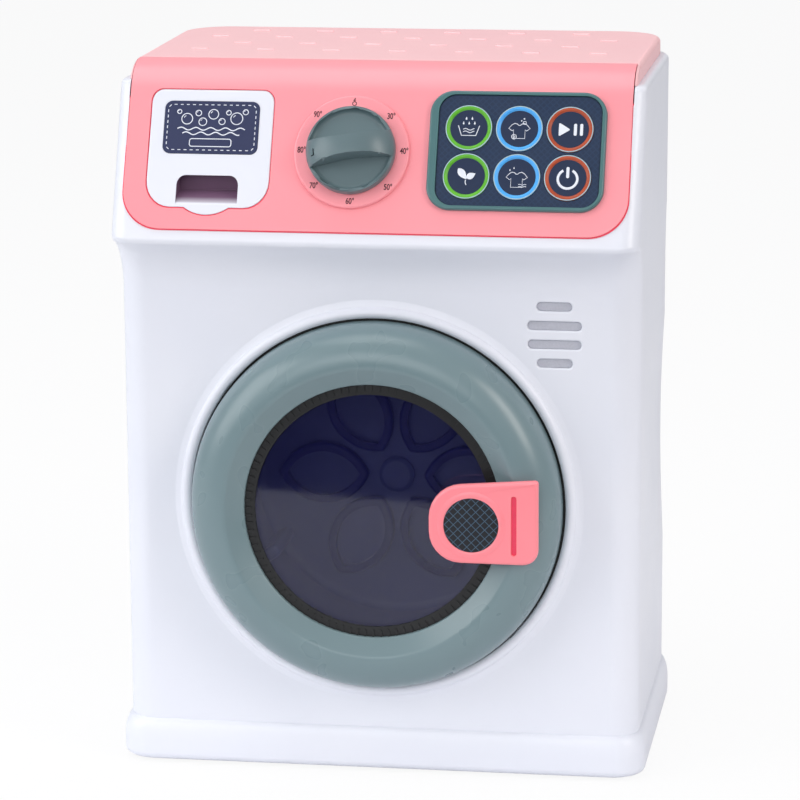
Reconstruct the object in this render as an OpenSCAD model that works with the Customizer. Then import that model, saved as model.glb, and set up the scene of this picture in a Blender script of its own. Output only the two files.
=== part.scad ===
// Toy front-loading washing machine, about two thirds of a shoe box high.
// X runs to the right, Y to the back and Z up. The origin is on the ground,
// under the middle of the outer box. Depths in the modules are measured from
// the flat front face of the case, and stand() puts them in place.

/* [Case] */
// Width over the side walls of the body
case_w = 200; // [194:1:206]
// Depth from the flat front face to the back
case_d = 130; // [126:1:138]
// Height of the top edge of the side walls
case_h = 267; // [265:1:270]
// Thickness of the case walls
wall = 2.5; // [2:0.1:3]
// Rounding of the front upright corners
corner_r = 11; // [8:0.5:14]
// Rounding of the back upright corners
back_r = 22; // [16:0.5:24]
// How much wider the head is than the body, on each side
head_out = 0.6; // [0.3:0.1:1]
// How far the lip of the head stands in front of the face
lip_out = 13; // [10:0.5:14]
// How far the skirt stands out round the base
skirt_out = 2.6; // [1.5:0.1:4]
// Height of the skirt
skirt_h = 17; // [14:1:22]
// Depth of the hand recess in each side wall
grip_depth = 2.1; // [1:0.1:2.2]
// Height of the hand recess
grip_h = 98; // [80:1:110]
// Height of the middle of the hand recess over the middle of the door
grip_up = 9; // [4:1:14]

/* [Control panel] */
// Width of the white rim on each side of the control panel
panel_side = 4.3; // [4:0.1:4.8]
// Height of the panel's bottom edge below the top of the side walls
head_h = 53; // [51:0.5:55]
// Lean of the panel from upright, in degrees
panel_lean = 25; // [23:0.5:27]
// Thickness of the panel
panel_t = 2.5; // [2:0.1:3]
// Rounding of the panel's bottom corners
panel_corner = 15; // [12:0.5:18]
// Radius of the roll from the panel into the top
roll_r = 18; // [16:0.5:19]
// Distance from the end of the roll back to the seam
seam_gap = 1.24; // [0.8:0.1:6]
// Height of the top cover's edge
cover_edge = 6.6; // [5:0.1:8]
// Thickness of the top cover
cover_t = 2.5; // [2:0.1:3]
// Rounding of the top cover's back corners
cover_r = 19; // [14:0.5:21]
// Height of the anti-slip bars on the top cover
bar_h = 0.4; // [0.2:0.1:0.6]
// Length of each anti-slip bar
bar_len = 6.8; // [4:0.2:9]
// Distance between neighbouring bars in a row
bar_pitch = 26; // [20:1:32]
// Distance between the rows of bars
bar_row = 20; // [16:1:22]

/* [Dial and knob] */
// How far the dial is right of the middle of its room, across the panel
dial_right = 1; // [-1:0.1:2]
// Place of the dial up the panel
dial_t = 31; // [29:0.5:32]
// Radius of the raised dial
dial_r = 22; // [20.5:0.5:23]
// Height of the raised dial
dial_h = 1.5; // [1:0.1:2]
// Radius of the knob
knob_r = 17.1; // [15.5:0.1:18]
// Height of the knob over the dial
knob_h = 11; // [9:0.5:13]
// Width of the knob's grip at its waist
grip_w = 8; // [6:0.5:10]
// Radius of the knob's shaft
knob_shaft_r = 3; // [2.5:0.1:3.5]

/* [Buttons] */
// Width of the button panel's frame
bezel_w = 66.6; // [66:0.1:68]
// Height of the button panel's frame
bezel_h = 46.3; // [45:0.1:47]
// Extra room between the button panel and the panel's right end
bezel_in = 0.7; // [0:0.1:1]
// Place of the button panel up the panel
bezel_t = 32.4; // [32:0.1:33]
// How far the frame stands in front of the panel
bezel_out = 1.8; // [1.4:0.1:2.4]
// Width of the frame's flat rim
bezel_rim = 2; // [1.6:0.1:2.6]
// Radius of each button
key_r = 9; // [8:0.1:9.1]
// Distance between buttons across
key_pitch_s = 19; // [18.9:0.1:19.6]
// Distance between buttons up the panel
key_pitch_t = 18.7; // [18.6:0.1:19]
// Travel of each button
key_travel = 0.7; // [0.4:0.1:0.9]

/* [Drawer] */
// Width of the drawer front
drawer_w = 47.1; // [45:0.1:48]
// Height of the drawer front, seen from the front
drawer_h = 41.9; // [40:0.1:43]
// Extra room between the drawer and the panel's left end
drawer_in = 0.2; // [0:0.1:1]
// Place of the drawer's bottom edge over the panel's bottom edge
drawer_up = 7.6; // [7:0.1:9]
// Width of the finger notch
notch_w = 23.7; // [20:0.1:26]
// Height of the finger notch, seen from the front
notch_h = 11; // [9:0.1:12]
// Depth of the finger notch
notch_d = 9; // [7:0.5:11]
// Length of the drawer's tray behind its front
tray_len = 44; // [38:1:50]
// Height of the tray's walls
tray_h = 24; // [20:1:28]
// How far the drawer slides out
drawer_travel = 34; // [25:1:36]

/* [Door] */
// How far the middle of the door is over the midway between ground and panel
door_up = 0; // [-1:0.5:2]
// Outer radius of the door ring
ring_r = 71.4; // [70.5:0.1:72]
// Height of the door ring in front of the face
ring_h = 18.9; // [18:0.1:20]
// Rounding of the door ring's outer shoulder
ring_round = 14.1; // [13.5:0.1:14.4]
// Thickness of the door ring's skin
ring_skin = 2.2; // [1.8:0.1:2.4]
// Width of the bevel between the ring's ridge and the glass
bevel_w = 6.1; // [5.5:0.1:7]
// Thickness of the door window
glass_t = 2; // [1.5:0.1:2.5]
// Width of the bead round the door opening
bead_w = 4.6; // [3:0.1:6]
// Height of the bead round the door opening
bead_h = 2.6; // [1.5:0.1:2.6]
// Gap between the door ring and the bead
door_gap = 1; // [0.8:0.1:1.4]
// Width of the rebate's floor, from the bead in to the opening
sill_w = 9.4; // [9:0.1:10]
// Radius of the hinge pin
hinge_pin_r = 1; // [0.8:0.05:1.1]

/* [Latch] */
// Distance of the latch's right end from the edge of the door ring
latch_in = 7.1; // [6.4:0.1:8]
// Length of the latch's plate
latch_len = 42.3; // [38:0.1:44]
// Height of the latch's plate at its left end
latch_w = 29.8; // [26:0.1:32]
// Thickness of the latch's plate
latch_t = 2.6; // [2:0.1:3]
// Radius of the badge on the latch
badge_r = 10.4; // [9:0.1:11]
// Radius of the latch pin
latch_pin_r = 1.2; // [1:0.05:1.4]

/* [Drum and drive] */
// Distance from the edge of the opening in to the drum's inner wall
drum_in = 7.3; // [7:0.1:9]
// Depth of the drum's front edge behind the face
drum_front = 9.5; // [9.2:0.1:11]
// Depth of the drum, outside
drum_len = 40.5; // [38:0.5:42]
// Thickness of the drum's walls
drum_t = 1.8; // [1.4:0.1:2.2]
// Height of the ribs on the drum's back wall
petal_h = 3; // [2:0.1:4]
// Distance from the edge of the opening out to the tub's inner wall
tub_out = 1; // [0.5:0.1:2]
// Radius of the drum shaft
shaft_r = 3; // [2.5:0.1:3.5]
// Size of the gear teeth (pitch diameter for each tooth)
gear_module = 1; // [0.9:0.05:1.05]
// Teeth of the drum gear
gear_teeth = 60; // [60]
// Teeth of the motor pinion
pinion_teeth = 12; // [12]
// Width of the gears
gear_w = 5; // [4:0.5:6]
// Radius of the motor
motor_r = 12; // [10:0.5:13]
// Length of the motor
motor_len = 27; // [24:0.5:30]

/* [Back] */
// Distance from the rear cover to each side of the case
rear_side = 24; // [24:0.5:27]
// Distance from the rear cover to the top and the bottom of the case
rear_end = 15; // [14.5:0.5:18]
// Radius of a battery
cell_r = 7.25; // [7:0.05:7.25]
// Length of a battery
cell_len = 50.5; // [49:0.5:51]
// Radius of the rubber feet
foot_r = 8; // [6:0.5:9]
// Height of the case over the ground
foot_out = 1; // [0.6:0.1:2]

/* [Fits] */
// Gap round covers and lids
cover_gap = 0.3; // [0.2:0.05:0.4]
// Gap round pieces that slide or turn loosely
loose_gap = 0.3; // [0.25:0.05:0.4]
// Radial gap of a pin or shaft in its bore
running_gap = 0.05; // [0.03:0.01:0.08]

/* [Hidden] */
$fn = 64;
HULL_FN = 32;
THIN = 0.02;
SLICE = 0.2;
OVER = 1;
half_w = case_w / 2;
head_half = half_w + head_out;
in_half = half_w - wall;
top_z = case_h + cover_edge;
panel_w = case_w - 2 * panel_side;
panel_z = case_h - head_h;
door_z = panel_z / 2 + door_up;
grip_z = door_z + grip_up;
cover_half = panel_w / 2 + cover_gap + 1;
flange_t = 2.5;
flange_w = 8;
floor_z = foot_out + wall;

// The panel's plane and the roll above it, in depth and height
panel_y = -lip_out + 1;
corner_t = (top_z - panel_z) / cos(panel_lean);
corner_y = panel_y + corner_t * sin(panel_lean);
roll_len = roll_r * tan((90 - panel_lean) / 2);
roll_y = corner_y + roll_len;
panel_len = corner_t - roll_len;
roll_z = panel_z + panel_len * cos(panel_lean);
seam_y = roll_y + seam_gap;
ledge_w = 3.5;

// The drawer, the dial and the buttons share the room across the panel
room_s = (panel_w - drawer_w - 2 * dial_r - bezel_w) / 4;
drawer_s = -panel_w / 2 + room_s + drawer_in + drawer_w / 2;
bezel_s = panel_w / 2 - room_s - bezel_in - bezel_w / 2;
dial_s = (drawer_s + drawer_w / 2 + bezel_s - bezel_w / 2) / 2 + dial_right;

// The door, measured forward from the face
ring_back = 1;
rim_h = ring_h - ring_round;
arc_r = ring_r - ring_round;
ridge_r = arc_r - 1;
glass_r = ridge_r - bevel_w;
bevel_h = ring_h - 3.9;
seat_h = bevel_h - 2;
glass_back = seat_h - glass_t;
window_r = glass_r + 1.9;
collar_r = window_r + 0.2;
collar_back = glass_back - 2;
rebate_r = ring_r + door_gap;
rebate_d = 1;
opening_r = rebate_r - sill_w;
floor_back = rebate_d + wall;
hinge_x = -(ring_r - 4.4);
hinge_h = 7;
hinge_barrel = hinge_pin_r + 0.9;
knuckle_half = 2.9;
arm_half = 2;
arm_mid = knuckle_half + loose_gap + arm_half;
boss_in = arm_mid + arm_half + loose_gap;
boss_out = boss_in + 4.4;
arm_x = hinge_x + 9;
arm_top = hinge_h + 5;

// The latch
latch_y = -1.5;
latch_end = ring_r - latch_in;
plate_back = ring_h + 0.5;
latch_front = plate_back + latch_t;
latch_pin_x = latch_end - 5.8;
latch_pin_h = 11.8;
latch_barrel = latch_pin_r + 1.3;
tail_half = 4;
ear_in = 6.5;
ear_out = 9;
hook_h = -(floor_back + loose_gap);
reach = latch_front;
face_y = (reach - case_d) / 2;

// The drum and its drive, measured back from the face
drum_r = opening_r - drum_in;
tub_r = opening_r + tub_out;
drum_out = drum_r + drum_t;
drum_back = drum_front + drum_len;
hub_back = drum_back + 2.7;
boss_front = hub_back + loose_gap;
tub_wall = 2;
tub_back = boss_front + 4;
boss_back = tub_back + 3;
gear_front = boss_back + loose_gap;
gear_back = gear_front + gear_w;
clip_back = gear_back + 1.3;
plate_front = clip_back + 2.2;
plate_t = 2;
plate_w = 56;
plate_h = 46;
motor_front = plate_front + plate_t;
gear_gap = gear_module * (gear_teeth + pinion_teeth) / 2;
motor_z = door_z + gear_gap;
bush_r = shaft_r + 3;
boss_r = bush_r + 3;

// The back, measured back from the face
cover_back = case_d - 0.3;
rear_t = 2.5;
rear_seat = cover_back - rear_t;
rear_z = (case_h + foot_out) / 2;
rear_w = case_w - 2 * rear_side;
rear_h = case_h - foot_out - 2 * rear_end;
rear_corner = 8;
bay_wall = 2;
cell_pitch = 2 * cell_r + 0.2;
bay_w = cell_len + 7.5;
bay_h = 3 * cell_pitch + 0.8;
bay_d = 2 * cell_r + 1.4;
bay_z = 46;
ledge = 5;
bay_screw_z = bay_z + bay_h / 2 + ledge - 2.6;
bay_screw_r = 1;
screw_r = 1.5;
screw_x = rear_w / 2 - 5.4;
screw_rows = [rear_z - rear_h / 2 + 9.7, rear_z, rear_z + rear_h / 2 - 9.7];

// The keys
key_places = [for (row = [1, -1], col = [-1, 0, 1])
    [bezel_s + 0.6 + col * key_pitch_s, bezel_t - 0.75 + row * key_pitch_t / 2]];
sheet_w = bezel_w - 5.4;
sheet_h = bezel_h - 2 * bezel_rim + 0.6;
sheet_s = bezel_s + 0.8;
sheet_t = 1.2;
sheet_seat = 0.4;
frame_w = bezel_w - 4;
frame_h = bezel_h - 4;
frame_d = 3.5;
switch_h = 3.5;
stem_len = 1;
button_h = 0.8;
board_h = frame_d + stem_len + 0.1 + key_travel + button_h + switch_h;
board_t = 1.6;
board_w = bezel_w + 6;
board_corner = 6;
board_tall = bezel_h + 2;
post_r = 2.5;

// The drawer
drawer_gap = 0.35;
drawer_z = panel_z + drawer_up;
tray_w = drawer_w - 7;
tray_wall = 1.6;
tray_y = panel_y + drawer_up * tan(panel_lean) + notch_d + 3;
tray_z = drawer_z + 2;
guide_wall = 1.6;

speaker_r = 15.5;
speaker_in = 32.5;
speaker_down = 39.8;
SPEAKER = [half_w - speaker_in, panel_z - speaker_down];
SLOTS = [[SPEAKER[0] + 0.1, SPEAKER[1] + 10.8, 13.4], [SPEAKER[0] + 0.2, SPEAKER[1] + 3.5, 20.6],
    [SPEAKER[0] + 0.25, SPEAKER[1] - 3.7, 20.3], [SPEAKER[0] + 0.3, SPEAKER[1] - 10.9, 13.4]];
SLOT_W = 3.4;

WHITE = "#f1f2f6";
PINK = "#f58f97";
PALE_PINK = "#fbc3c4";
GREY_GREEN = "#7d9194";
NAVY = "#26406a";
DARK = "#2a2f35";
STEEL = "#c4c8cc";

// Moves what is drawn from the face to its place
module stand() {
    translate([0, face_y, 0]) children();
}

// Across the panel is x, up the panel is y, out of the panel is z
module panel_at(s = 0, t = 0) {
    stand() translate([0, panel_y, panel_z]) rotate([-panel_lean, 0, 0])
        translate([s, 0, t]) rotate([90, 0, 0]) children();
}

// Across is x, up is y, and forward of the face is z, about the door's centre
module door_at() {
    stand() translate([0, 0, door_z]) rotate([90, 0, 0]) children();
}

// An outline seen from the front, drawn out from one depth to another
module from_front(from, to) {
    stand() translate([0, to, 0]) rotate([90, 0, 0]) linear_extrude(to - from) children();
}

// Rectangle with round corners, centred
module round_rect(w, h, r) {
    square([w - 2 * r, h], center = true);
    square([w, h - 2 * r], center = true);
    for (x = [-1, 1], y = [-1, 1])
        translate([x * (w / 2 - r), y * (h / 2 - r)]) circle(r);
}

// Plan of the case at one height
module case_plan(half, front, back, front_r, back_rr) {
    translate([-half + front_r, front]) square([2 * (half - front_r), back - front - back_rr]);
    translate([-half, front + front_r]) square([2 * half, back - front - front_r - back_rr]);
    translate([-half + back_rr, front + front_r])
        square([2 * (half - back_rr), back - front - front_r]);
    for (x = [-1, 1]) {
        translate([x * (half - front_r), front + front_r]) circle(front_r);
        translate([x * (half - back_rr), back - back_rr]) circle(back_rr);
    }
}

// A thin slice of the case, for the skins that are stretched between slices
module slice(z, out, front, front_r) {
    translate([0, 0, z]) linear_extrude(SLICE)
        case_plan(half_w + out, front, case_d, front_r, back_r + out, $fn = HULL_FN);
}

// Depth of the panel's plane at a height
function lean_y(z) = panel_y + (z - panel_z) * tan(panel_lean);

// The solid outer form of the case
module case_form() {
    flare_r = flare_h + 3;
    translate([0, 0, foot_out + OVER]) linear_extrude(lip_z - foot_out - OVER)
        case_plan(half_w, 0, case_d, corner_r, back_r);
    hull() {
        slice(foot_out, skirt_out - 1.2, 1.2 - skirt_out, corner_r);
        slice(foot_out + 1.6, skirt_out, -skirt_out, corner_r + 1.2);
        slice(skirt_h - 6, skirt_out, -skirt_out, corner_r + 1.2);
        slice(skirt_h - 2.4, skirt_out - 0.9, 0.9 - skirt_out, corner_r + 0.6);
        slice(skirt_h, -0.4, 0.4, corner_r);
    }
    // The head, hollowed underneath so that it flares from the face
    difference() {
        hull() {
            slice(flare_z - 3, -1, 1, corner_r);
            slice(lip_z, head_out - 0.25, 1.6 - lip_out, corner_r);
            slice(lip_z + 2, head_out - 0.05, 0.1 - lip_out, corner_r - 1);
            slice(lip_z + 3.6, head_out, 0.2 - lip_out, corner_r - 3);
            slice(case_h - 4, head_out - 0.1, lean_y(case_h - 4), 5);
            slice(case_h - 1.2, head_out - 0.6, lean_y(case_h - 1.2) + 0.6, 5);
            slice(case_h - SLICE, head_out - 1.8, lean_y(case_h) + 1.8, 5);
        }
        translate([-case_w, 0.3 - flare_r, flare_z]) rotate([0, 90, 0])
            cylinder(r = flare_r, h = 2 * case_w, $fn = 128);
    }
}
lip_z = panel_z - 6.5;
flare_h = 20.5;
flare_z = lip_z - flare_h;

// Outline of the control panel, a gap larger all round
module panel_outline(gap = 0) {
    w = panel_w / 2 + gap;
    r = panel_corner;
    translate([-w, r - gap]) square([2 * w, corner_t + roll_r]);
    translate([-w + r, -gap]) square([2 * (w - r), r + 1]);
    for (x = [-1, 1]) translate([x * (w - r), r - gap]) circle(r);
}

module case_shell() color(WHITE) {
    difference() {
        union() {
            stand() case_form();
            // Bead round the door opening
            door_at() rotate_extrude()
                intersection() {
                    translate([rebate_r, 0]) scale([1, bead_h / bead_w]) circle(bead_w);
                    translate([rebate_r, -OVER]) square([bead_w, bead_h + OVER]);
                }
        }
        difference() {
            case_hollow();
            // Floor of the rebate that the door closes on
            door_at() translate([0, 0, -floor_back]) cylinder(r = rebate_r + wall, h = floor_back);
        }
        // Pocket and window for the control panel
        panel_at() translate([0, 0, -panel_t]) linear_extrude(panel_t + 20) panel_outline(cover_gap);
        panel_at() translate([0, 0, -20]) linear_extrude(40)
            intersection() {
                panel_outline(-ledge_w);
                translate([-half_w, ledge_w]) square([case_w, corner_t + roll_r]);
            }
        // Room for the ends of the roll
        stand() translate([-panel_w / 2 - loose_gap - 0.15, roll_y - roll_r, roll_z - panel_t])
            cube([panel_w + 2 * loose_gap + 0.3, 2 * roll_r, 3 * roll_r]);
        // Rebate and opening for the door
        door_at() translate([0, 0, -rebate_d]) cylinder(r = rebate_r, h = rebate_d + bead_h + OVER);
        door_at() translate([0, 0, -floor_back - OVER]) cylinder(r = opening_r, h = floor_back + 2 * OVER);
        // Speaker slots
        for (slot = SLOTS)
            from_front(-OVER, wall + OVER) translate([slot[0], slot[1]])
                round_rect(slot[2], SLOT_W, SLOT_W / 2 - 0.01);
        // Hand recess in each side
        hand_recess(0);
        // Opening for the rear cover
        from_front(case_d - 2 * wall, case_d + OVER) translate([0, rear_z])
            round_rect(rear_w + 2 * cover_gap, rear_h + 2 * cover_gap, rear_corner + cover_gap);
        // Seats for the feet
        feet() translate([0, 0, -THIN]) cylinder(r = foot_r + 0.1, h = foot_out + 1.2);
    }
    rear_bosses();
}

// Shallow hollow across each side wall, or the solid that backs it
module hand_recess(back) {
    recess_r = (pow(grip_h / 2, 2) + pow(grip_depth, 2)) / (2 * grip_depth);
    for (x = [-1, 1])
        stand() translate([x * (half_w - grip_depth + recess_r), 45 - back, grip_z])
            rotate([-90, 0, 0]) cylinder(r = recess_r + back, h = case_d, $fn = 128);
}

// The room inside the case
module case_hollow()
    difference() {
        stand() {
            translate([0, 0, floor_z]) linear_extrude(lip_z - 3 - floor_z)
                case_plan(in_half, wall, case_d - wall, corner_r - wall, back_r - wall);
            translate([0, 0, floor_z]) linear_extrude(case_h - flange_t - floor_z)
                case_plan(in_half, roll_y, case_d - wall, corner_r - wall, back_r - wall);
            translate([0, 0, floor_z]) linear_extrude(case_h)
                case_plan(in_half + wall - flange_w, roll_y - 8, case_d - flange_w, 1, back_r - flange_w);
            translate([-panel_w / 2 + 1.5, wall, lip_z - 10])
                cube([panel_w - 3, roll_y, case_h - flange_t - lip_z + 10]);
            translate([-panel_w / 2 + ledge_w, panel_y + 4, lip_z + 2])
                cube([panel_w - 2 * ledge_w, roll_y, panel_z - lip_z + 3]);
        }
        hand_recess(wall);
    }

// Screw bosses behind the rear cover, each with a rib to the side wall
module rear_bosses() {
    boss_len = 30;
    for (x = [-1, 1], z = screw_rows) {
        rib_end = half_w - wall / 2 - (z == rear_z ? grip_depth : 0);
        difference() {
            union() {
                from_front(rear_seat - boss_len, rear_seat)
                    translate([x * screw_x, z]) circle(4);
                from_front(rear_seat - boss_len, case_d - back_r)
                    translate([x > 0 ? screw_x : -rib_end, z - 1]) square([rib_end - screw_x, 2]);
            }
            from_front(rear_seat - 14, rear_seat + OVER) translate([x * screw_x, z])
                circle(screw_r + running_gap);
        }
    }
}

// The roll and the flats on either side of it, as a wall of one thickness
module head_section(thick, from_t, to_y) {
    translate([panel_y, panel_z]) rotate(-panel_lean)
        translate([0, from_t]) square([thick, panel_len - from_t + THIN]);
    intersection() {
        difference() {
            translate([roll_y, top_z - roll_r]) circle(roll_r);
            translate([roll_y, top_z - roll_r]) circle(roll_r - thick);
        }
        translate([roll_y, top_z - roll_r]) polygon([[0, 0], [THIN, 2 * roll_r], [-roll_r, 2 * roll_r],
            [-2 * roll_r * cos(panel_lean), 2 * roll_r * sin(panel_lean)]]);
    }
    translate([roll_y, top_z - thick]) square([to_y - roll_y, thick]);
}

module control_panel() color(PINK) {
    difference() {
        union() {
            intersection() {
                stand() translate([-panel_w / 2, 0, 0]) rotate([90, 0, 90])
                    linear_extrude(panel_w) head_section(panel_t, 0, seam_y - cover_gap / 2);
                panel_at() translate([0, 0, -case_d]) linear_extrude(2 * case_d) panel_outline();
            }
            panel_at(dial_s, dial_t) cylinder(r = dial_r, h = dial_h);
            for (x = [-1, 1], y = [-1, 1])
                panel_at(bezel_s + x * (board_w / 2 - post_r - 1), bezel_t + y * (board_tall / 2 - post_r - 1))
                    translate([0, 0, -board_h]) cylinder(r = post_r, h = board_h - panel_t + THIN);
        }
        from_front(-case_d, roll_y) drawer_outline(drawer_gap);
        panel_at(bezel_s, bezel_t) translate([0, 0, -panel_t - OVER])
            linear_extrude(panel_t + 2 * OVER) round_rect(frame_w + 0.4, frame_h + 0.4, 7.2);
        panel_at(dial_s, dial_t) translate([0, 0, -panel_t - OVER])
            cylinder(r = knob_shaft_r + 0.5, h = panel_t + dial_h + 2 * OVER);
        for (x = [-1, 1], y = [-1, 1])
            panel_at(bezel_s + x * (board_w / 2 - post_r - 1), bezel_t + y * (board_tall / 2 - post_r - 1))
                translate([0, 0, -board_h - OVER]) cylinder(r = 1 + running_gap, h = OVER + 4);
    }
}

// Front view of the drawer's front, a gap larger all round
module drawer_outline(gap = 0) {
    low_r = 9.5;
    high_r = 4.5;
    w = drawer_w / 2 + gap;
    translate([drawer_s, drawer_z - gap]) {
        translate([-w, low_r]) square([2 * w, drawer_h + 2 * gap - low_r - high_r]);
        translate([-w + low_r, 0]) square([2 * (w - low_r), low_r + 1]);
        translate([-w + high_r, low_r]) square([2 * (w - high_r), drawer_h + 2 * gap - low_r]);
        for (x = [-1, 1]) {
            translate([x * (w - low_r), low_r]) circle(low_r);
            translate([x * (w - high_r), drawer_h + 2 * gap - high_r]) circle(high_r);
        }
        // Crescent under the finger notch
        intersection() {
            translate([0, lip_up]) circle(lip_up + lip_drop + gap);
            translate([-notch_w / 2, -lip_drop - 2 * gap]) square([notch_w, lip_drop + low_r]);
        }
    }
}
lip_drop = 2.6;
lip_up = 13;

module notch_outline() {
    r = 3.5;
    translate([drawer_s, drawer_z]) {
        translate([-notch_w / 2, 0.3]) square([notch_w, notch_h - r - 0.3]);
        translate([-notch_w / 2 + r, 0.3]) square([notch_w - 2 * r, notch_h - 0.3]);
        for (x = [-1, 1]) translate([x * (notch_w / 2 - r), notch_h - r]) circle(r);
    }
}

module drawer() color(WHITE) {
    difference() {
        union() {
            intersection() {
                from_front(-case_d, roll_y + tray_len) drawer_outline();
                panel_at() translate([-half_w, -OVER, -panel_t]) cube([case_w, 80, panel_t]);
            }
            // Block that carries the finger notch
            intersection() {
                from_front(-lip_out, tray_y + tray_wall) translate([drawer_s - tray_w / 2, tray_z])
                    square([tray_w, notch_h + 6]);
                panel_at() translate([-half_w, -OVER, -40]) cube([case_w, 80, 40 - panel_t + THIN]);
            }
            // Tray
            stand() translate([drawer_s - tray_w / 2, tray_y, tray_z])
                cube([tray_w, tray_len, tray_h]);
        }
        // Shallow recess below the shelf, deep pocket above it
        intersection() {
            from_front(-case_d, tray_y - tray_wall) notch_outline();
            panel_at() translate([-half_w, -10, -1.5]) cube([case_w, 90, 40]);
        }
        intersection() {
            from_front(-case_d, tray_y - tray_wall) intersection() {
                notch_outline();
                translate([drawer_s - notch_w, tray_z + 1.2]) square([2 * notch_w, drawer_h]);
            }
            panel_at() translate([-half_w, -10, -notch_d]) cube([case_w, 90, 40]);
        }
        stand() translate([drawer_s - tray_w / 2 + tray_wall, tray_y + tray_wall, tray_z + tray_wall])
            cube([tray_w - 2 * tray_wall, tray_len - 2 * tray_wall, tray_h]);
        panel_at(label_s, label_t) translate([0, 0, -0.3]) linear_extrude(OVER)
            round_rect(label_w + 0.2, label_h + 0.2, 3);
    }
}
label_w = drawer_w - 10.6;
label_h = 20.7;
label_s = drawer_s;
label_t = 39.8;

module drawer_label() color(NAVY)
    panel_at(label_s, label_t) translate([0, 0, -0.3]) linear_extrude(0.5)
        round_rect(label_w, label_h, 2.9);

// Sleeve behind the panel that the drawer runs in
module drawer_guide() color(WHITE) {
    in_w = tray_w + 2 * loose_gap;
    difference() {
        stand() translate([drawer_s - in_w / 2 - guide_wall, guide_y, tray_z - loose_gap - guide_wall])
            cube([in_w + 2 * guide_wall, guide_len, guide_in_h + 2 * guide_wall]);
        stand() translate([drawer_s - in_w / 2, guide_y - OVER, tray_z - loose_gap])
            cube([in_w, guide_len - guide_wall + OVER, guide_in_h]);
        panel_at() translate([-half_w, -20, -panel_t]) cube([case_w, 110, 60]);
    }
    // Blade that hangs the sleeve from the back of the panel
    for (x = [-1, 1])
        difference() {
            stand() translate([drawer_s + x * (in_w / 2 + guide_wall / 2) - guide_wall / 2, 0, tray_z])
                cube([guide_wall, guide_y + 2, guide_in_h - 1]);
            panel_at() translate([-half_w, -20, -panel_t]) cube([case_w, 110, 60]);
        }
}
guide_y = tray_y - 2;
guide_len = tray_len + 4;
guide_in_h = tray_h + 2 * loose_gap;

module top_cover() color(PALE_PINK) {
    edge_t = 2.2;
    back = case_d - 0.4;
    inner = in_half + wall - flange_w - cover_gap;
    difference() {
        stand() translate([0, 0, case_h]) linear_extrude(cover_edge)
            case_plan(cover_half, seam_y, back, 1, cover_r);
        stand() translate([0, 0, case_h - OVER]) linear_extrude(cover_edge - cover_t + OVER)
            case_plan(cover_half - edge_t, seam_y - 10, back - edge_t, 1, cover_r - edge_t);
    }
    // Rim that locates the cover inside the case
    stand() translate([0, 0, case_h - flange_t - 1.5]) linear_extrude(top_z - case_h + flange_t)
        difference() {
            case_plan(inner, seam_y + 3, case_d - flange_w - cover_gap, 1, back_r - flange_w);
            case_plan(inner - 2, seam_y + 5, case_d - flange_w - cover_gap - 2, 1, back_r - flange_w - 2);
        }
    // Tongue under the back edge of the panel
    stand() translate([-inner, seam_y - 2.5, top_z - cover_t - loose_gap - 2])
        cube([2 * inner, 8, 2]);
    // Ears that run forward beside the ends of the panel
    for (x = [panel_w / 2 + cover_gap, -cover_half])
        stand() translate([x, 0, 0]) rotate([90, 0, 90])
            linear_extrude(cover_half - panel_w / 2 - cover_gap) intersection() {
                translate([roll_y, top_z - roll_r]) circle(roll_r);
                translate([0, case_h]) square([seam_y + 2, cover_edge]);
            }
    cover_bars();
}

// Short raised bars in four staggered rows
module cover_bars() {
    rows = floor((case_d - seam_y - 18) / bar_row);
    for (row = [0 : rows - 1]) {
        count = floor((panel_w - 24 - (row % 2) * bar_pitch) / bar_pitch);
        for (i = [0 : count])
            stand() translate([(i - count / 2) * bar_pitch, seam_y + 26.5 + row * bar_row, top_z - THIN])
                linear_extrude(bar_h + THIN) round_rect(bar_len, 1.2, 0.55);
    }
}

module rear_cover() color(WHITE) {
    difference() {
        from_front(rear_seat, cover_back) translate([0, rear_z])
            round_rect(rear_w, rear_h, rear_corner);
        from_front(rear_seat - OVER, cover_back + OVER) translate([0, bay_z])
            square([bay_w + 2 * ledge + 2 * cover_gap, bay_h + 2 * ledge + 2 * cover_gap], center = true);
        for (x = [-1, 1], z = screw_rows) {
            from_front(rear_seat - OVER, cover_back + OVER) translate([x * screw_x, z])
                circle(screw_r + 0.2);
            from_front(cover_back - 1.4, cover_back + OVER) translate([x * screw_x, z]) circle(3.2);
        }
        // Vents
        for (i = [0 : 6])
            from_front(rear_seat - OVER, cover_back + OVER)
                translate([0, rear_z + 20 + i * 9]) round_rect(60, 3, 1.45);
    }
}

module rear_screws() color(STEEL)
    for (x = [-1, 1], z = screw_rows) {
        from_front(rear_seat - 12, cover_back - 1) translate([x * screw_x, z]) circle(screw_r);
        difference() {
            from_front(cover_back - 1.4, cover_back - 0.2) translate([x * screw_x, z]) circle(2.9);
            from_front(cover_back - 0.9, cover_back) translate([x * screw_x, z]) square([3.4, 0.7], center = true);
            from_front(cover_back - 0.9, cover_back) translate([x * screw_x, z]) square([0.7, 3.4], center = true);
        }
    }

// Places of the four feet
module feet() {
    for (x = [-1, 1], y = [foot_r + 12, case_d - foot_r - 16])
        stand() translate([x * (half_w - foot_r - 14), y, 0]) children();
}

module rubber_feet() color(DARK) feet() cylinder(r = foot_r, h = foot_out + 1.2 - THIN);

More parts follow.
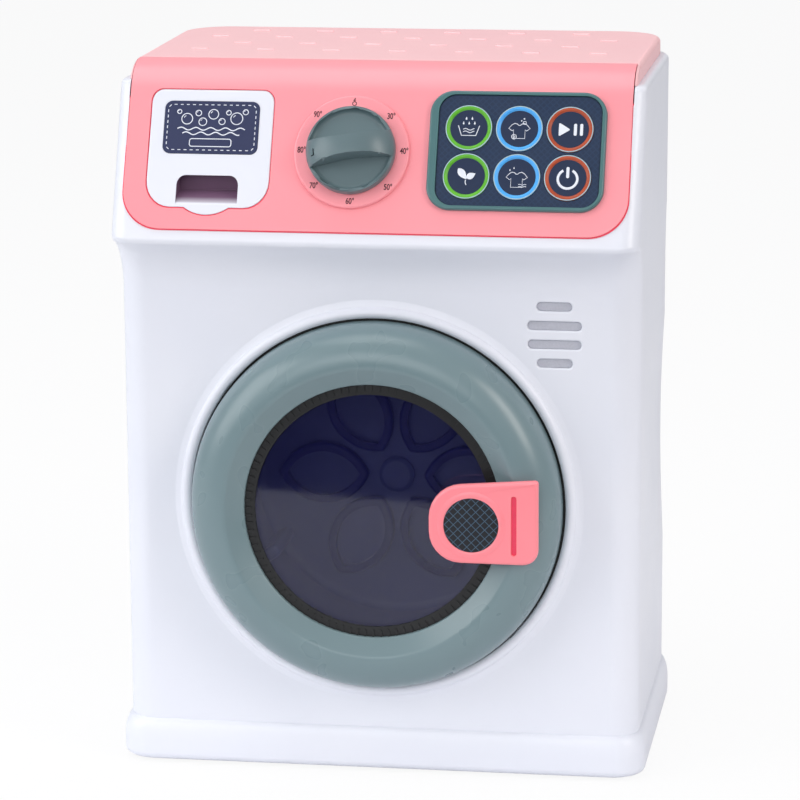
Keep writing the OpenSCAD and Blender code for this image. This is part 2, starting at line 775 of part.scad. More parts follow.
module knob() color(GREY_GREEN) {
    rest_turn = 7;
    waist_r = 26;
    base = dial_h + loose_gap;
    rim = 1.7;
    panel_at(dial_s, dial_t) rotate(rest_turn) difference() {
        union() {
            translate([0, 0, base]) cylinder(r = knob_r, h = 3);
            translate([0, 0, base]) cylinder(r = knob_r - 0.6, h = knob_h - 5);
            translate([0, 0, base]) intersection() {
                cylinder(r = knob_r - 0.6, h = knob_h);
                translate([0, 0, knob_h / 2])
                    cube([2 * knob_r, grip_w + 9, knob_h], center = true);
            }
        }
        for (y = [-1, 1])
            intersection() {
                translate([0, y * (waist_r + grip_w / 2), base + 3]) cylinder(r = waist_r, h = knob_h);
                translate([0, 0, base + 3]) cylinder(r = knob_r - rim, h = knob_h);
            }
        translate([0, 0, base - OVER]) cylinder(r = knob_shaft_r + running_gap, h = knob_h - 2 + OVER);
    }
}

module knob_shaft() color(STEEL)
    panel_at(dial_s, dial_t) translate([0, 0, -panel_t - 7])
        cylinder(r = knob_shaft_r, h = panel_t + 7 + dial_h + knob_h - 3);

module dial_switch() color(DARK)
    difference() {
        panel_at(dial_s, dial_t) translate([0, 0, -panel_t - 8]) cylinder(r = 10, h = 8);
        panel_at(dial_s, dial_t) translate([0, 0, -panel_t - 7.3])
            cylinder(r = knob_shaft_r + running_gap, h = 8);
    }

module button_frame() color(GREY_GREEN)
    difference() {
        union() {
            panel_at(bezel_s, bezel_t) linear_extrude(bezel_out) round_rect(bezel_w, bezel_h, 9);
            panel_at(bezel_s, bezel_t) translate([0, 0, -frame_d])
                linear_extrude(frame_d + THIN) round_rect(frame_w, frame_h, 7);
        }
        panel_at(sheet_s, bezel_t) translate([0, 0, sheet_seat]) linear_extrude(bezel_out + OVER)
            round_rect(sheet_w + 0.3, sheet_h + 0.3, 6.6);
        for (p = key_places)
            panel_at(p[0], p[1]) translate([0, 0, -frame_d - OVER])
                cylinder(r = key_r + loose_gap, h = frame_d + 2 * OVER);
    }

module button_sheet() color(NAVY)
    difference() {
        panel_at(sheet_s, bezel_t) translate([0, 0, sheet_seat])
            linear_extrude(sheet_t - sheet_seat) round_rect(sheet_w, sheet_h, 6.5);
        for (p = key_places)
            panel_at(p[0], p[1]) translate([0, 0, -OVER]) cylinder(r = key_r + loose_gap, h = sheet_t + 2 * OVER);
    }

// One button: a round cap, and the stem that presses its switch
module key(i, tint) color(tint)
    panel_at(key_places[i][0], key_places[i][1]) {
        translate([0, 0, 0.1 - frame_d]) cylinder(r = key_r, h = frame_d + sheet_t + 0.3);
        translate([0, 0, -frame_d - stem_len]) cylinder(r = 2.5, h = stem_len + 0.2);
    }
module key_wash() key(0, "#4f9b46");
module key_rinse() key(1, "#5aa6e0");
module key_start() key(2, "#b0573f");
module key_eco() key(3, "#4f9b46");
module key_dry() key(4, "#5aa6e0");
module key_power() key(5, "#b0573f");

module key_switches() color("#3a3d42")
    for (p = key_places) {
        panel_at(p[0], p[1]) translate([-3, -3, -board_h]) cube([6, 6, switch_h]);
        panel_at(p[0], p[1]) translate([0, 0, switch_h - board_h - THIN]) cylinder(r = 1.75, h = button_h);
    }

module circuit_board() color("#2f7d4b")
    difference() {
        panel_at(bezel_s, bezel_t) translate([0, 0, -board_h - board_t])
            linear_extrude(board_t) round_rect(board_w, board_tall, board_corner);
        board_holes() translate([0, 0, -board_h - board_t - OVER]) cylinder(r = 1.3, h = board_t + 2 * OVER);
    }

module board_holes()
    for (x = [-1, 1], y = [-1, 1])
        panel_at(bezel_s + x * (board_w / 2 - post_r - 1), bezel_t + y * (board_tall / 2 - post_r - 1))
            children();

module board_screws() color(STEEL)
    board_holes() {
        translate([0, 0, -board_h - board_t - 1.2]) cylinder(r = 2, h = 1.2);
        translate([0, 0, -board_h - board_t - THIN]) cylinder(r = 1, h = board_t + 2.6);
    }

module speaker() color(DARK)
    stand() translate([SPEAKER[0], wall, SPEAKER[1]]) rotate([-90, 0, 0]) {
        difference() {
            cylinder(r = speaker_r, h = 2);
            translate([0, 0, -OVER]) cylinder(r = speaker_r - 3, h = 1.6 + OVER);
        }
        translate([0, 0, 1.9]) cylinder(r = speaker_r - 2.1, h = 5);
        translate([0, 0, 6.8]) cylinder(r = speaker_r - 7.5, h = 5);
    }

// Section of the door ring, from the hub outwards and forward of the face
module ring_fill()
    difference() {
        polygon([[glass_r, seat_h], [glass_r, bevel_h], [ridge_r, ring_h], [ring_r, ring_h],
            [ring_r, ring_back], [arc_r, ring_back], [arc_r, collar_back], [collar_r, collar_back],
            [collar_r, seat_h]]);
        translate([arc_r, rim_h]) difference() {
            square(2 * ring_round);
            circle(ring_round);
        }
    }

// Room inside the ring, open to the back
module ring_hollow() {
    side_r = arc_r + ring_round - ring_skin;
    translate([arc_r, rim_h]) intersection() {
        circle(ring_round - ring_skin);
        square(ring_round);
    }
    translate([arc_r, ring_back - OVER]) square([side_r - arc_r, rim_h - ring_back + OVER]);
    polygon([[collar_r + ring_skin, collar_back - OVER], [collar_r + ring_skin, bevel_h - 1.2],
        [arc_r - 1, ring_h - ring_skin], [arc_r, ring_h - ring_skin], [arc_r, collar_back - OVER]]);
}

module door_ring() color(GREY_GREEN)
    door_at() difference() {
        union() {
            rotate_extrude($fn = 128) difference() {
                ring_fill();
                ring_hollow();
            }
            intersection() {
                rotate_extrude($fn = 128) ring_fill();
                union() {
                    // Knuckle between the hinge arms, and a boss beyond each arm
                    translate([hinge_x - 2.4, -knuckle_half, hinge_h - 2])
                        cube([5, 2 * knuckle_half, ring_h]);
                    for (y = [boss_in, -boss_out])
                        translate([hinge_x - 2.4, y, hinge_h - 2]) cube([5, boss_out - boss_in, ring_h]);
                    // Ears that hold the latch pin
                    for (y = [ear_in, -ear_out])
                        translate([latch_pin_x - 2.6, latch_y + y, latch_pin_h - 2.4])
                            cube([5.2, ear_out - ear_in, ring_h]);
                }
            }
        }
        // Thinner skin where the hinge arms lie
        for (y = [-arm_mid, arm_mid])
            intersection() {
                translate([hinge_x - 3, y - arm_half - loose_gap, 0])
                    cube([14, 2 * (arm_half + loose_gap), ring_h]);
                rotate_extrude($fn = 128) {
                    intersection() {
                        translate([arc_r, rim_h]) circle(ring_round - 1.4);
                        translate([0, rim_h]) square(2 * ring_r);
                    }
                }
            }
        // Bores for the two pins
        translate([hinge_x, 0, hinge_h]) rotate([90, 0, 0])
            cylinder(r = hinge_pin_r + running_gap, h = 2 * boss_out - 1.2, center = true);
        translate([latch_pin_x, latch_y, latch_pin_h]) rotate([90, 0, 0])
            cylinder(r = latch_pin_r + running_gap, h = 2 * ear_out - 0.8, center = true);
        // Slot for the tail of the latch
        translate([latch_pin_x - 3.4, latch_y - tail_half - 2.2, latch_pin_h - 4])
            cube([8.2, 2 * (tail_half + 2.2), ring_h]);
    }

module door_window() color([0.12, 0.12, 0.2, 0.6])
    door_at() translate([0, 0, glass_back]) cylinder(r = window_r, h = glass_t, $fn = 128);

module door_back() color(DARK) {
    tube_r = glass_r + 1.4;
    rib_count = 48;
    back_out = ring_r - ring_skin - 0.3;
    door_at() difference() {
        union() {
            difference() {
                union() {
                    translate([0, 0, ring_back]) cylinder(r = back_out, h = 1.8, $fn = 128);
                    translate([0, 0, ring_back]) cylinder(r = tube_r, h = glass_back - ring_back, $fn = 128);
                }
                translate([0, 0, -OVER]) cylinder(r = tube_r - 2, h = glass_back + 2 * OVER, $fn = 128);
            }
            for (i = [0 : rib_count - 1])
                rotate(i * 360 / rib_count) translate([tube_r - 3, -0.6, ring_back])
                    cube([1.5, 1.2, glass_back - ring_back - 0.6]);
            // Spigot that centres the door in the opening
            translate([0, 0, -5]) difference() {
                cylinder(r = opening_r - 6, h = 5 + ring_back + THIN, $fn = 128);
                translate([0, 0, -OVER]) cylinder(r = opening_r - 8, h = 8, $fn = 128);
            }
        }
        // Room for the hinge and for the latch
        translate([-ring_r - OVER, -boss_out - 0.6, -8]) cube([ring_r + OVER + arm_x + 2.6, 2 * boss_out + 1.2, 20]);
        translate([latch_pin_x - 4.2, latch_y - tail_half - 1.6, -8]) cube([14, 2 * (tail_half + 1.6), 18]);
    }
}

// Two hooked arms that reach into the ring and hold the hinge pin
module hinge_bracket() color(DARK) {
    arm_w = 2;
    door_at() {
        difference() {
            union() {
                for (y = [-arm_mid, arm_mid])
                    translate([0, y + arm_half, 0]) rotate([90, 0, 0]) linear_extrude(2 * arm_half) {
                        translate([hinge_x, hinge_h]) circle(hinge_barrel);
                        polygon([[hinge_x - 1.2, hinge_h + 1.5], [hinge_x + 1.5, hinge_h - 1.2],
                            [arm_x - arm_w / 2, arm_top - 0.4], [arm_x - arm_w / 2, -floor_back - THIN],
                            [arm_x + arm_w / 2, -floor_back - THIN], [arm_x + arm_w / 2, arm_top + 1],
                            [arm_x - 4.4, arm_top + 1]]);
                    }
                // Foot behind the rebate's floor
                translate([hinge_x - 4, -arm_mid - arm_half, -floor_back - 2.4])
                    cube([arm_x + arm_w / 2 - hinge_x + 4, 2 * (arm_mid + arm_half), 2.4]);
            }
            translate([hinge_x, 0, hinge_h]) rotate([90, 0, 0])
                cylinder(r = hinge_pin_r + running_gap, h = 4 * arm_mid, center = true);
        }
    }
}

module hinge_pin() color(STEEL)
    door_at() translate([hinge_x, 0, hinge_h]) rotate([90, 0, 0])
        cylinder(r = hinge_pin_r, h = 2 * boss_out - 1.4, center = true);

// Front view of the latch's plate, about the door's centre
module latch_outline() {
    left = latch_end - latch_len;
    r = 12;
    hull() {
        translate([left + r, latch_mid + latch_w / 2 - r]) circle(r, $fn = HULL_FN);
        translate([left + r, latch_mid - latch_w / 2 + r]) circle(r, $fn = HULL_FN);
        translate([latch_end - 1, latch_mid + latch_w / 2 + 2.2]) circle(1, $fn = HULL_FN);
        translate([latch_end - 6, latch_mid - latch_w / 2 + 6.6]) circle(6, $fn = HULL_FN);
    }
}
latch_mid = -3.7;

module latch() color(PINK)
    door_at() difference() {
        union() {
            translate([0, 0, plate_back]) linear_extrude(latch_t) latch_outline();
            translate([0, latch_y + tail_half, 0]) rotate([90, 0, 0]) linear_extrude(2 * tail_half) {
                translate([latch_pin_x, latch_pin_h]) circle(latch_barrel);
                polygon([[latch_pin_x - latch_barrel, latch_pin_h], [latch_pin_x + latch_barrel, latch_pin_h],
                    [latch_pin_x + 2, plate_back + THIN], [latch_pin_x - 2, plate_back + THIN]]);
                polygon([[latch_pin_x, latch_pin_h], [latch_pin_x + latch_barrel, latch_pin_h],
                    [latch_pin_x + 2.6, hook_h + 2], [latch_pin_x + 3, hook_h], [opening_r + 2.2, hook_h],
                    [opening_r + 0.6, hook_h - 2.6], [latch_pin_x + 0.4, hook_h - 2.6],
                    [latch_pin_x + 0.2, 3]]);
            }
        }
        translate([badge_x, badge_y, latch_front - 0.6]) cylinder(r = badge_r + 0.1, h = OVER);
        translate([latch_end - 9.8, latch_mid, latch_front - 0.8])
            linear_extrude(OVER) round_rect(2, 23, 0.95);
        translate([latch_pin_x, latch_y, latch_pin_h]) rotate([90, 0, 0])
            cylinder(r = latch_pin_r + running_gap, h = 4 * tail_half, center = true);
    }
badge_x = latch_end - 26;
badge_y = latch_mid - 0.1;

module latch_badge() color(DARK)
    door_at() translate([badge_x, badge_y, latch_front - 0.6]) cylinder(r = badge_r, h = 0.6);

module latch_pin() color(STEEL)
    door_at() translate([latch_pin_x, latch_y, latch_pin_h]) rotate([90, 0, 0])
        cylinder(r = latch_pin_r, h = 2 * ear_out - 1, center = true);

// Torsion spring on the latch pin, drawn as the sleeve that its turns fill
module latch_spring() color(STEEL)
    door_at() translate([latch_pin_x, latch_y + tail_half + loose_gap, latch_pin_h]) rotate([-90, 0, 0])
        difference() {
            cylinder(r = latch_barrel - 0.2, h = 1.8);
            translate([0, 0, -OVER]) cylinder(r = latch_pin_r + 0.3, h = 4);
        }

module tub() color("#3b4148")
    door_at() difference() {
        union() {
            translate([0, 0, -tub_back]) cylinder(r = tub_r + tub_wall, h = tub_back - floor_back, $fn = 128);
            translate([0, 0, -boss_back]) cylinder(r = boss_r, h = boss_back - boss_front);
            plate_posts() translate([0, 0, -plate_front]) cylinder(r = 3, h = plate_front - tub_back + THIN);
        }
        translate([0, 0, -(tub_back - tub_wall)])
            cylinder(r = tub_r, h = tub_back, $fn = 128);
        translate([0, 0, -boss_back - OVER]) cylinder(r = bush_r + running_gap, h = tub_back);
        plate_posts() translate([0, 0, -plate_front - OVER]) cylinder(r = 1 + running_gap, h = OVER + 6);
        // Room for the foot of the hinge and for the hook of the latch
        translate([-tub_r - 2 * tub_wall, -boss_out, -floor_back - 2.8]) cube([20, 2 * boss_out, 4]);
        translate([tub_r - 16, latch_y - tail_half - 1, -floor_back - 6.6]) cube([20, 2 * tail_half + 2, 8]);
    }

// Places of the three posts that carry the motor plate
module plate_posts()
    for (p = [[-22, gear_gap + 7], [22, gear_gap + 7], [0, gear_gap + 21]])
        translate([p[0], p[1], 0]) children();

module drum() color(NAVY)
    door_at() {
        difference() {
            union() {
                translate([0, 0, -drum_back]) cylinder(r = drum_out, h = drum_len, $fn = 128);
                translate([0, 0, -hub_back]) cylinder(r = boss_r - 1, h = 3);
            }
            translate([0, 0, -drum_back + drum_t]) cylinder(r = drum_r, h = drum_len, $fn = 128);
            translate([0, 0, -hub_back - OVER]) cylinder(r = shaft_r + running_gap, h = hub_back - drum_back + drum_t + 2 * OVER);
        }
        // Curved ribs round the hub, like the petals of a flower
        difference() {
            union() {
                for (i = [0 : 5]) rotate(i * 60) petal();
                translate([0, 0, -drum_back + drum_t - THIN]) cylinder(r = 9, h = petal_h);
            }
            translate([0, 0, -drum_back]) cylinder(r = shaft_r + running_gap, h = 6);
        }
        // Three lifters on the wall
        for (i = [0 : 2]) rotate(90 + i * 120)
            translate([drum_r - 7, -2.5, -drum_back + drum_t - THIN]) cube([7.4, 5, drum_len - 8]);
    }

// A petal's outline as a rib one and a half millimetres wide
module petal() {
    petal_r = 19;
    petal_x = 29;
    translate([0, 0, -drum_back + drum_t - THIN]) linear_extrude(petal_h) difference() {
        intersection() {
            translate([petal_x, petal_r - 12]) circle(petal_r);
            translate([petal_x, 12 - petal_r]) circle(petal_r);
        }
        intersection() {
            translate([petal_x, petal_r - 12]) circle(petal_r - 1.6);
            translate([petal_x, 12 - petal_r]) circle(petal_r - 1.6);
        }
    }
}

module drum_shaft() color(STEEL)
    door_at() translate([0, 0, -clip_back - 0.8])
        cylinder(r = shaft_r, h = clip_back + 0.8 - drum_back + drum_t + 2);

module drum_bush() color("#b08d57")
    door_at() difference() {
        translate([0, 0, -boss_back]) cylinder(r = bush_r, h = boss_back - boss_front);
        translate([0, 0, -boss_back - OVER]) cylinder(r = shaft_r + running_gap, h = boss_back);
    }

// Spur gear outline with straight-sided teeth; play is shaved off each flank
module gear_outline(teeth, turn, play) {
    pitch = gear_module * teeth / 2;
    root = pitch - 1.25 * gear_module;
    tip = pitch + 0.9 * gear_module;
    half = 90 / teeth;
    circle(root + THIN, $fn = 128);
    for (i = [0 : teeth - 1])
        rotate(turn + i * 360 / teeth)
            polygon([[root * cos(half * 1.5), -root * sin(half * 1.5) + play],
                [pitch, -pitch * sin(half) + play], [tip, -pitch * sin(half) * 0.5 + play],
                [tip, pitch * sin(half) * 0.5 - play], [pitch, pitch * sin(half) - play],
                [root * cos(half * 1.5), root * sin(half * 1.5) - play]]);
}

module drum_gear() color("#e8e6df")
    door_at() translate([0, 0, -gear_back]) difference() {
        linear_extrude(gear_w) gear_outline(gear_teeth, 90, 0.12);
        translate([0, 0, -OVER]) cylinder(r = shaft_r + running_gap, h = gear_w + 2 * OVER);
    }

module shaft_clip() color(STEEL)
    door_at() translate([0, 0, -gear_back - 1.1]) difference() {
        cylinder(r = shaft_r + 2, h = 0.8);
        translate([0, 0, -OVER]) cylinder(r = shaft_r + running_gap, h = 3);
    }

module motor_pinion() color("#e8e6df")
    door_at() translate([0, gear_gap, -gear_back]) difference() {
        linear_extrude(gear_w) gear_outline(pinion_teeth, 180 / pinion_teeth - 90, 0.12);
        translate([0, 0, -OVER]) cylinder(r = 1 + running_gap, h = gear_w + 2 * OVER);
    }

module motor() color(STEEL)
    door_at() translate([0, gear_gap, 0]) {
        translate([0, 0, -motor_front - motor_len]) cylinder(r = motor_r, h = motor_len);
        translate([0, 0, -motor_front - THIN]) cylinder(r = 3, h = plate_t);
        translate([0, 0, -motor_front - motor_len - 2]) cylinder(r = 4, h = 2 + THIN);
    }

module motor_plate() color(STEEL)
    door_at() difference() {
        translate([0, gear_gap + 5, -plate_front - plate_t]) linear_extrude(plate_t)
            round_rect(plate_w, plate_h, 5);
        translate([0, gear_gap, -plate_front - plate_t - OVER]) cylinder(r = 3.1, h = plate_t + 2 * OVER);
        plate_posts() translate([0, 0, -plate_front - plate_t - OVER]) cylinder(r = 1.3, h = plate_t + 2 * OVER);
    }

module plate_screws() color(STEEL)
    door_at() plate_posts() {
        translate([0, 0, -plate_front - plate_t - 1.2]) cylinder(r = 2.2, h = 1.2);
        translate([0, 0, -plate_front - plate_t - THIN]) cylinder(r = 1, h = plate_t + 5);
    }

module battery_box() color(DARK)
    difference() {
        from_front(rear_seat - bay_d - bay_wall, rear_seat) translate([0, bay_z])
            square([bay_w + 2 * ledge + 4, bay_h + 2 * ledge + 4], center = true);
        from_front(rear_seat - bay_d, rear_seat + OVER) translate([0, bay_z])
            square([bay_w, bay_h], center = true);
        from_front(rear_seat - 9, rear_seat + OVER)
            translate([0, bay_screw_z]) circle(bay_screw_r + running_gap);
    }

module batteries() color("#3d6fb0")
    for (i = [-1 : 1])
        stand() translate([bay_w / 2 - cell_len - 0.6, rear_seat - bay_d + cell_r + 0.1, bay_z + i * cell_pitch])
            rotate([0, 90, 0]) {
                cylinder(r = cell_r, h = cell_len - 1);
                translate([0, 0, cell_len - 1 - THIN]) cylinder(r = 2.7, h = 1);
            }

// Spring and plate contacts at the two ends of each battery
module battery_contacts() color(STEEL)
    for (i = [-1 : 1]) {
        y = rear_seat - bay_d + cell_r + 0.1;
        stand() translate([bay_w / 2 - 0.45, y - 4, bay_z + i * cell_pitch - 4]) cube([0.45, 8, 8]);
        stand() translate([-bay_w / 2, y - 4, bay_z + i * cell_pitch - 4]) cube([0.45, 8, 8]);
        stand() translate([-bay_w / 2 + 0.4, y, bay_z + i * cell_pitch]) rotate([0, 90, 0])
            difference() {
                cylinder(r = 3.4, h = bay_w - cell_len - 1.2);
                translate([0, 0, 0.5]) cylinder(r = 2.6, h = bay_w);
            }
    }

module battery_door() color(WHITE)
    difference() {
        from_front(rear_seat, cover_back) translate([0, bay_z])
            square([bay_w + 2 * ledge, bay_h + 2 * ledge], center = true);
        from_front(rear_seat - OVER, cover_back + OVER)
            translate([0, bay_screw_z]) circle(bay_screw_r + 0.15);
        from_front(cover_back - 1.1, cover_back + OVER)
            translate([0, bay_screw_z]) circle(2 * bay_screw_r + 0.1);
    }

module battery_screw() color(STEEL) {
    from_front(rear_seat - 8, cover_back - 1) translate([0, bay_screw_z]) circle(bay_screw_r);
    difference() {
        from_front(cover_back - 1.1, cover_back - 0.1)
            translate([0, bay_screw_z]) circle(2 * bay_screw_r);
        from_front(cover_back - 0.6, cover_back)
            translate([0, bay_screw_z]) square([2.4 * bay_screw_r, 0.5], center = true);
    }
}

case_shell();
control_panel();
top_cover();
rear_cover();
rear_screws();
rubber_feet();
drawer();
drawer_label();
drawer_guide();
knob();
knob_shaft();
dial_switch();
button_frame();
button_sheet();
key_wash();
key_rinse();
key_start();
key_eco();
key_dry();
key_power();
key_switches();
circuit_board();
board_screws();
speaker();
door_ring();
door_window();
door_back();
hinge_bracket();
hinge_pin();
latch();
latch_badge();
latch_pin();
latch_spring();
tub();
drum();
drum_shaft();
drum_bush();
drum_gear();
shaft_clip();
motor();
motor_pinion();
motor_plate();
plate_screws();
battery_box();
batteries();
battery_contacts();
battery_door();
battery_screw();
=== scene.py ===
from math import asin, cos, degrees, pi, radians, sin, tan, tau

import bmesh
import bpy
from mathutils import Matrix, Vector


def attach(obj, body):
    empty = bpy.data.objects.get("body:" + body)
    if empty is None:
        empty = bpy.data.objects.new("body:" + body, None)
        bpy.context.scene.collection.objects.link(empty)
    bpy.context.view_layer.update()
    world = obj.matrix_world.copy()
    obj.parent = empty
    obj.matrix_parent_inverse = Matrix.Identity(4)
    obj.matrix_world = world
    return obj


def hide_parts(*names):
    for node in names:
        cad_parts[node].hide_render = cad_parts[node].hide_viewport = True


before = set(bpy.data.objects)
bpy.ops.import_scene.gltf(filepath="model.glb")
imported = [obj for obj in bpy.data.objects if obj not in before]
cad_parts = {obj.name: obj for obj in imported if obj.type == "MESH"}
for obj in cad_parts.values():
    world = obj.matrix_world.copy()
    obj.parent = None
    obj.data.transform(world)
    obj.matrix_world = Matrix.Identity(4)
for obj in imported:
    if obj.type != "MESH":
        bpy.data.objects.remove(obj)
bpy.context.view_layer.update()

# --------------------------------------
# Camera. The toy is seen from a little to its right and from above, with a
# long lens, as in a catalogue photograph.
scene = bpy.context.scene
aim = Vector((-0.0007, 0.0060, 0.1341))
yaw, pitch, roll = (radians(angle) for angle in (9.0, 12.6, -0.36))
away = Vector((sin(yaw) * cos(pitch), -cos(yaw) * cos(pitch), sin(pitch)))
bpy.ops.object.camera_add(location=aim + 1.4678 * away)
camera = bpy.context.object
turn = away.to_track_quat("Z", "Y") @ Matrix.Rotation(roll, 3, "Z").to_quaternion()
camera.rotation_euler = turn.to_euler()
camera.data.lens = 166.5
camera.data.sensor_width = 36
scene.camera = camera
scene.view_settings.view_transform = "Standard"

# --------------------------------------
# Studio. A white table whose front edge is near, soft boxes at the left, in
# front, at the right and overhead, and a white room that is dark below the
# table, so that the glass shows the table in its lower half only.


def linear(code):
    """An sRGB hex colour as linear light."""
    parts = [int(code[i:i + 2], 16) / 255 for i in (1, 3, 5)]
    return [c / 12.92 if c <= 0.04045 else ((c + 0.055) / 1.055) ** 2.4 for c in parts] + [1.0]


def darker(code, share):
    """A share of an sRGB colour's light."""
    return [c * share for c in linear(code)[:3]] + [1.0]


def add(tree, kind, inputs=None, **settings):
    """Adds a shader node. An input is given a value, or the node or socket that feeds it."""
    made = tree.nodes.new("ShaderNode" + kind)
    for name, value in settings.items():
        setattr(made, name, value)
    for name, value in (inputs or {}).items():
        if isinstance(value, bpy.types.Node):
            value = value.outputs[0]
        if isinstance(value, bpy.types.NodeSocket):
            tree.links.new(value, made.inputs[name])
        else:
            made.inputs[name].default_value = value
    return made


def blank(name):
    """A new material and its empty node tree."""
    material = bpy.data.materials.new(name)
    material.use_nodes = True
    material.node_tree.nodes.clear()
    return material, material.node_tree


def clear():
    """Leaves object mode with nothing selected."""
    if bpy.context.object and bpy.context.object.mode != "OBJECT":
        bpy.ops.object.mode_set(mode="OBJECT")
    bpy.ops.object.select_all(action="DESELECT")


clear()
bpy.ops.mesh.primitive_plane_add(size=8, location=(-0.75, 3.44, -0.0002), rotation=(0, 0, radians(12)))
table = bpy.context.object
table.name = "table"
paper, tree = blank("white_sweep_paper")
fibre = add(tree, "TexNoise", {"Vector": add(tree, "TexCoord").outputs["Object"], "Scale": 60.0})
matt = add(tree, "BsdfDiffuse", {"Color": add(tree, "Mix", {
    0: fibre, 6: linear("#f3f3f5"), 7: linear("#eeeef1")},
    data_type="RGBA").outputs[2]})
glow = add(tree, "Emission", {"Color": (1, 1, 1, 1), "Strength": 1.0})
seen = add(tree, "Math", {0: add(tree, "LightPath").outputs["Is Camera Ray"], 1: 0.9},
           operation="MULTIPLY")
sheet = add(tree, "MixShader", {0: seen, 1: matt, 2: glow})
add(tree, "OutputMaterial", {0: sheet})
table.data.materials.append(paper)

world = bpy.data.worlds.new("white_room")
world.use_nodes = True
scene.world = world
tree = world.node_tree
tree.nodes.clear()
way = add(tree, "SeparateXYZ", {0: add(tree, "TexCoord").outputs["Generated"]})
height = add(tree, "MapRange", {0: way.outputs[2], 1: -0.06, 2: 0.10, 3: 0.0, 4: 1.0})
wall = add(tree, "Mix", {0: height, 6: linear("#2a2b33"), 7: linear("#f4f6fa")}, data_type="RGBA")
room = add(tree, "Background", {"Color": wall.outputs[2], "Strength": 0.56})
behind = add(tree, "Background", {"Color": (1, 1, 1, 1), "Strength": 1.0})
sky = add(tree, "MixShader", {0: add(tree, "LightPath").outputs["Is Camera Ray"],
                              1: room, 2: behind})
add(tree, "OutputWorld", {0: sky})

for name, place, target, size, power, tint in (
        ("soft_box_left", (-1.27, -0.72, 0.74), (0, -0.02, 0.14), (1.1, 0.95), 9.6, "#ffffff"),
        ("soft_box_front", (-0.35, -2.4, 0.95), (0, -0.05, 0.12), (1.8, 1.0), 11.5, "#fdfdff"),
        ("soft_box_right", (1.25, -0.75, 0.85), (0, 0, 0.14), (0.5, 0.9), 8.5, "#fff8f2"),
        ("soft_box_top", (-0.25, -0.10, 1.5), (0, 0, 0.2), (1.1, 0.9), 6.5, "#ffffff")):
    clear()
    bpy.ops.object.light_add(type="AREA", location=place)
    lamp = bpy.context.object
    lamp.name = name
    lamp.rotation_euler = (Vector(place) - Vector(target)).to_track_quat("Z", "Y").to_euler()
    lamp.data.shape = "RECTANGLE"
    lamp.data.size, lamp.data.size_y = size
    lamp.data.energy = power
    lamp.data.color = linear(tint)[:3]

# --------------------------------------
# Case shell. One hollow ABS moulding: upright walls on a rounded skirt, a
# head that flares forward to carry the leaning panel, a rebate and a bead for
# the door, four sound slots and a shallow hand recess in each side. The
# pieces are shaped in millimetres, then put in place in metres.
FACE_Y = -54.0           # the flat front face, in the frame
DOOR_Z = 107.0           # height of the middle of the door
LEAN = 25.0              # lean of the panel, in degrees
PANEL_Y, PANEL_Z = -12.0, 214.0      # the panel's bottom edge, depth from the face and height
HALF, BACK, WALL = 100.0, 130.0, 2.5         # half the width, the depth and the wall


def spot(x=0.0, y=0.0, z=0.0, turned=0.0):
    """The place that far across, back and up, turned by some degrees about its upright."""
    return Matrix.Translation((x, y, z)) @ Matrix.Rotation(radians(turned), 4, "Z")


UP = Matrix.Rotation(radians(90), 4, "X")
STAND = spot(0, FACE_Y)
FRONT = UP               # x across, y up, z forward
DOOR = spot(0, 0, DOOR_Z) @ UP       # the same, about the door's middle
PANEL = spot(0, PANEL_Y, PANEL_Z) @ Matrix.Rotation(radians(90 - LEAN), 4, "X")
REAR = spot(0, BACK, 0, 180) @ UP


def start(kind, **settings):
    """Adds a primitive alone in the selection and opens it in edit mode."""
    clear()
    getattr(bpy.ops.mesh, "primitive_" + kind + "_add")(**settings)
    bpy.ops.object.mode_set(mode="EDIT")
    return bpy.context.object


def pick(kind, test):
    """Selects the points, edges or faces that pass a test of their place (and normal)."""
    bpy.ops.mesh.select_mode(type={"verts": "VERT", "edges": "EDGE", "faces": "FACE"}[kind])
    bpy.ops.mesh.select_all(action="DESELECT")
    mesh = bmesh.from_edit_mesh(bpy.context.object.data)
    for part in getattr(mesh, kind):
        if kind == "verts":
            part.select_set(bool(test(part.co)))
        elif kind == "edges":
            part.select_set(all(test(v.co) for v in part.verts))
        else:
            part.select_set(bool(test(part.calc_center_median(), part.normal)))
    mesh.select_flush_mode()
    bmesh.update_edit_mesh(bpy.context.object.data)


def every():
    bpy.ops.mesh.select_all(action="SELECT")


def move(x=0.0, y=0.0, z=0.0):
    bpy.ops.transform.translate(value=(x, y, z))


def extrude(x=0.0, y=0.0, z=0.0):
    bpy.ops.mesh.extrude_region_move(TRANSFORM_OT_translate={"value": (x, y, z)})


def scale(x, y, z, about):
    bpy.ops.transform.resize(value=(x, y, z), center_override=about)


def bevel(offset, segments=4, affect="EDGES"):
    bpy.ops.mesh.bevel(offset=offset, segments=segments, affect=affect)


def use(piece):
    """Makes one piece the only one selected, in object mode."""
    clear()
    bpy.context.view_layer.objects.active = piece
    piece.select_set(True)
    return piece


def edit(piece):
    """Opens one piece alone in edit mode, all of it selected."""
    use(piece)
    bpy.ops.object.mode_set(mode="EDIT")
    bpy.ops.mesh.select_mode(type="VERT")
    every()
    return piece


def tidy(piece):
    """Closes seams and poles, and turns every face outwards."""
    edit(piece)
    bpy.ops.mesh.remove_doubles(threshold=0.002)
    bpy.ops.mesh.normals_make_consistent(inside=False)
    bpy.ops.object.mode_set(mode="OBJECT")
    return piece


def modify(piece, kind, **settings):
    """Adds a modifier and applies it."""
    use(piece)
    made = piece.modifiers.new(kind.lower(), kind)
    for name, value in settings.items():
        setattr(made, name, value)
    bpy.ops.object.modifier_apply(modifier=made.name)
    return piece


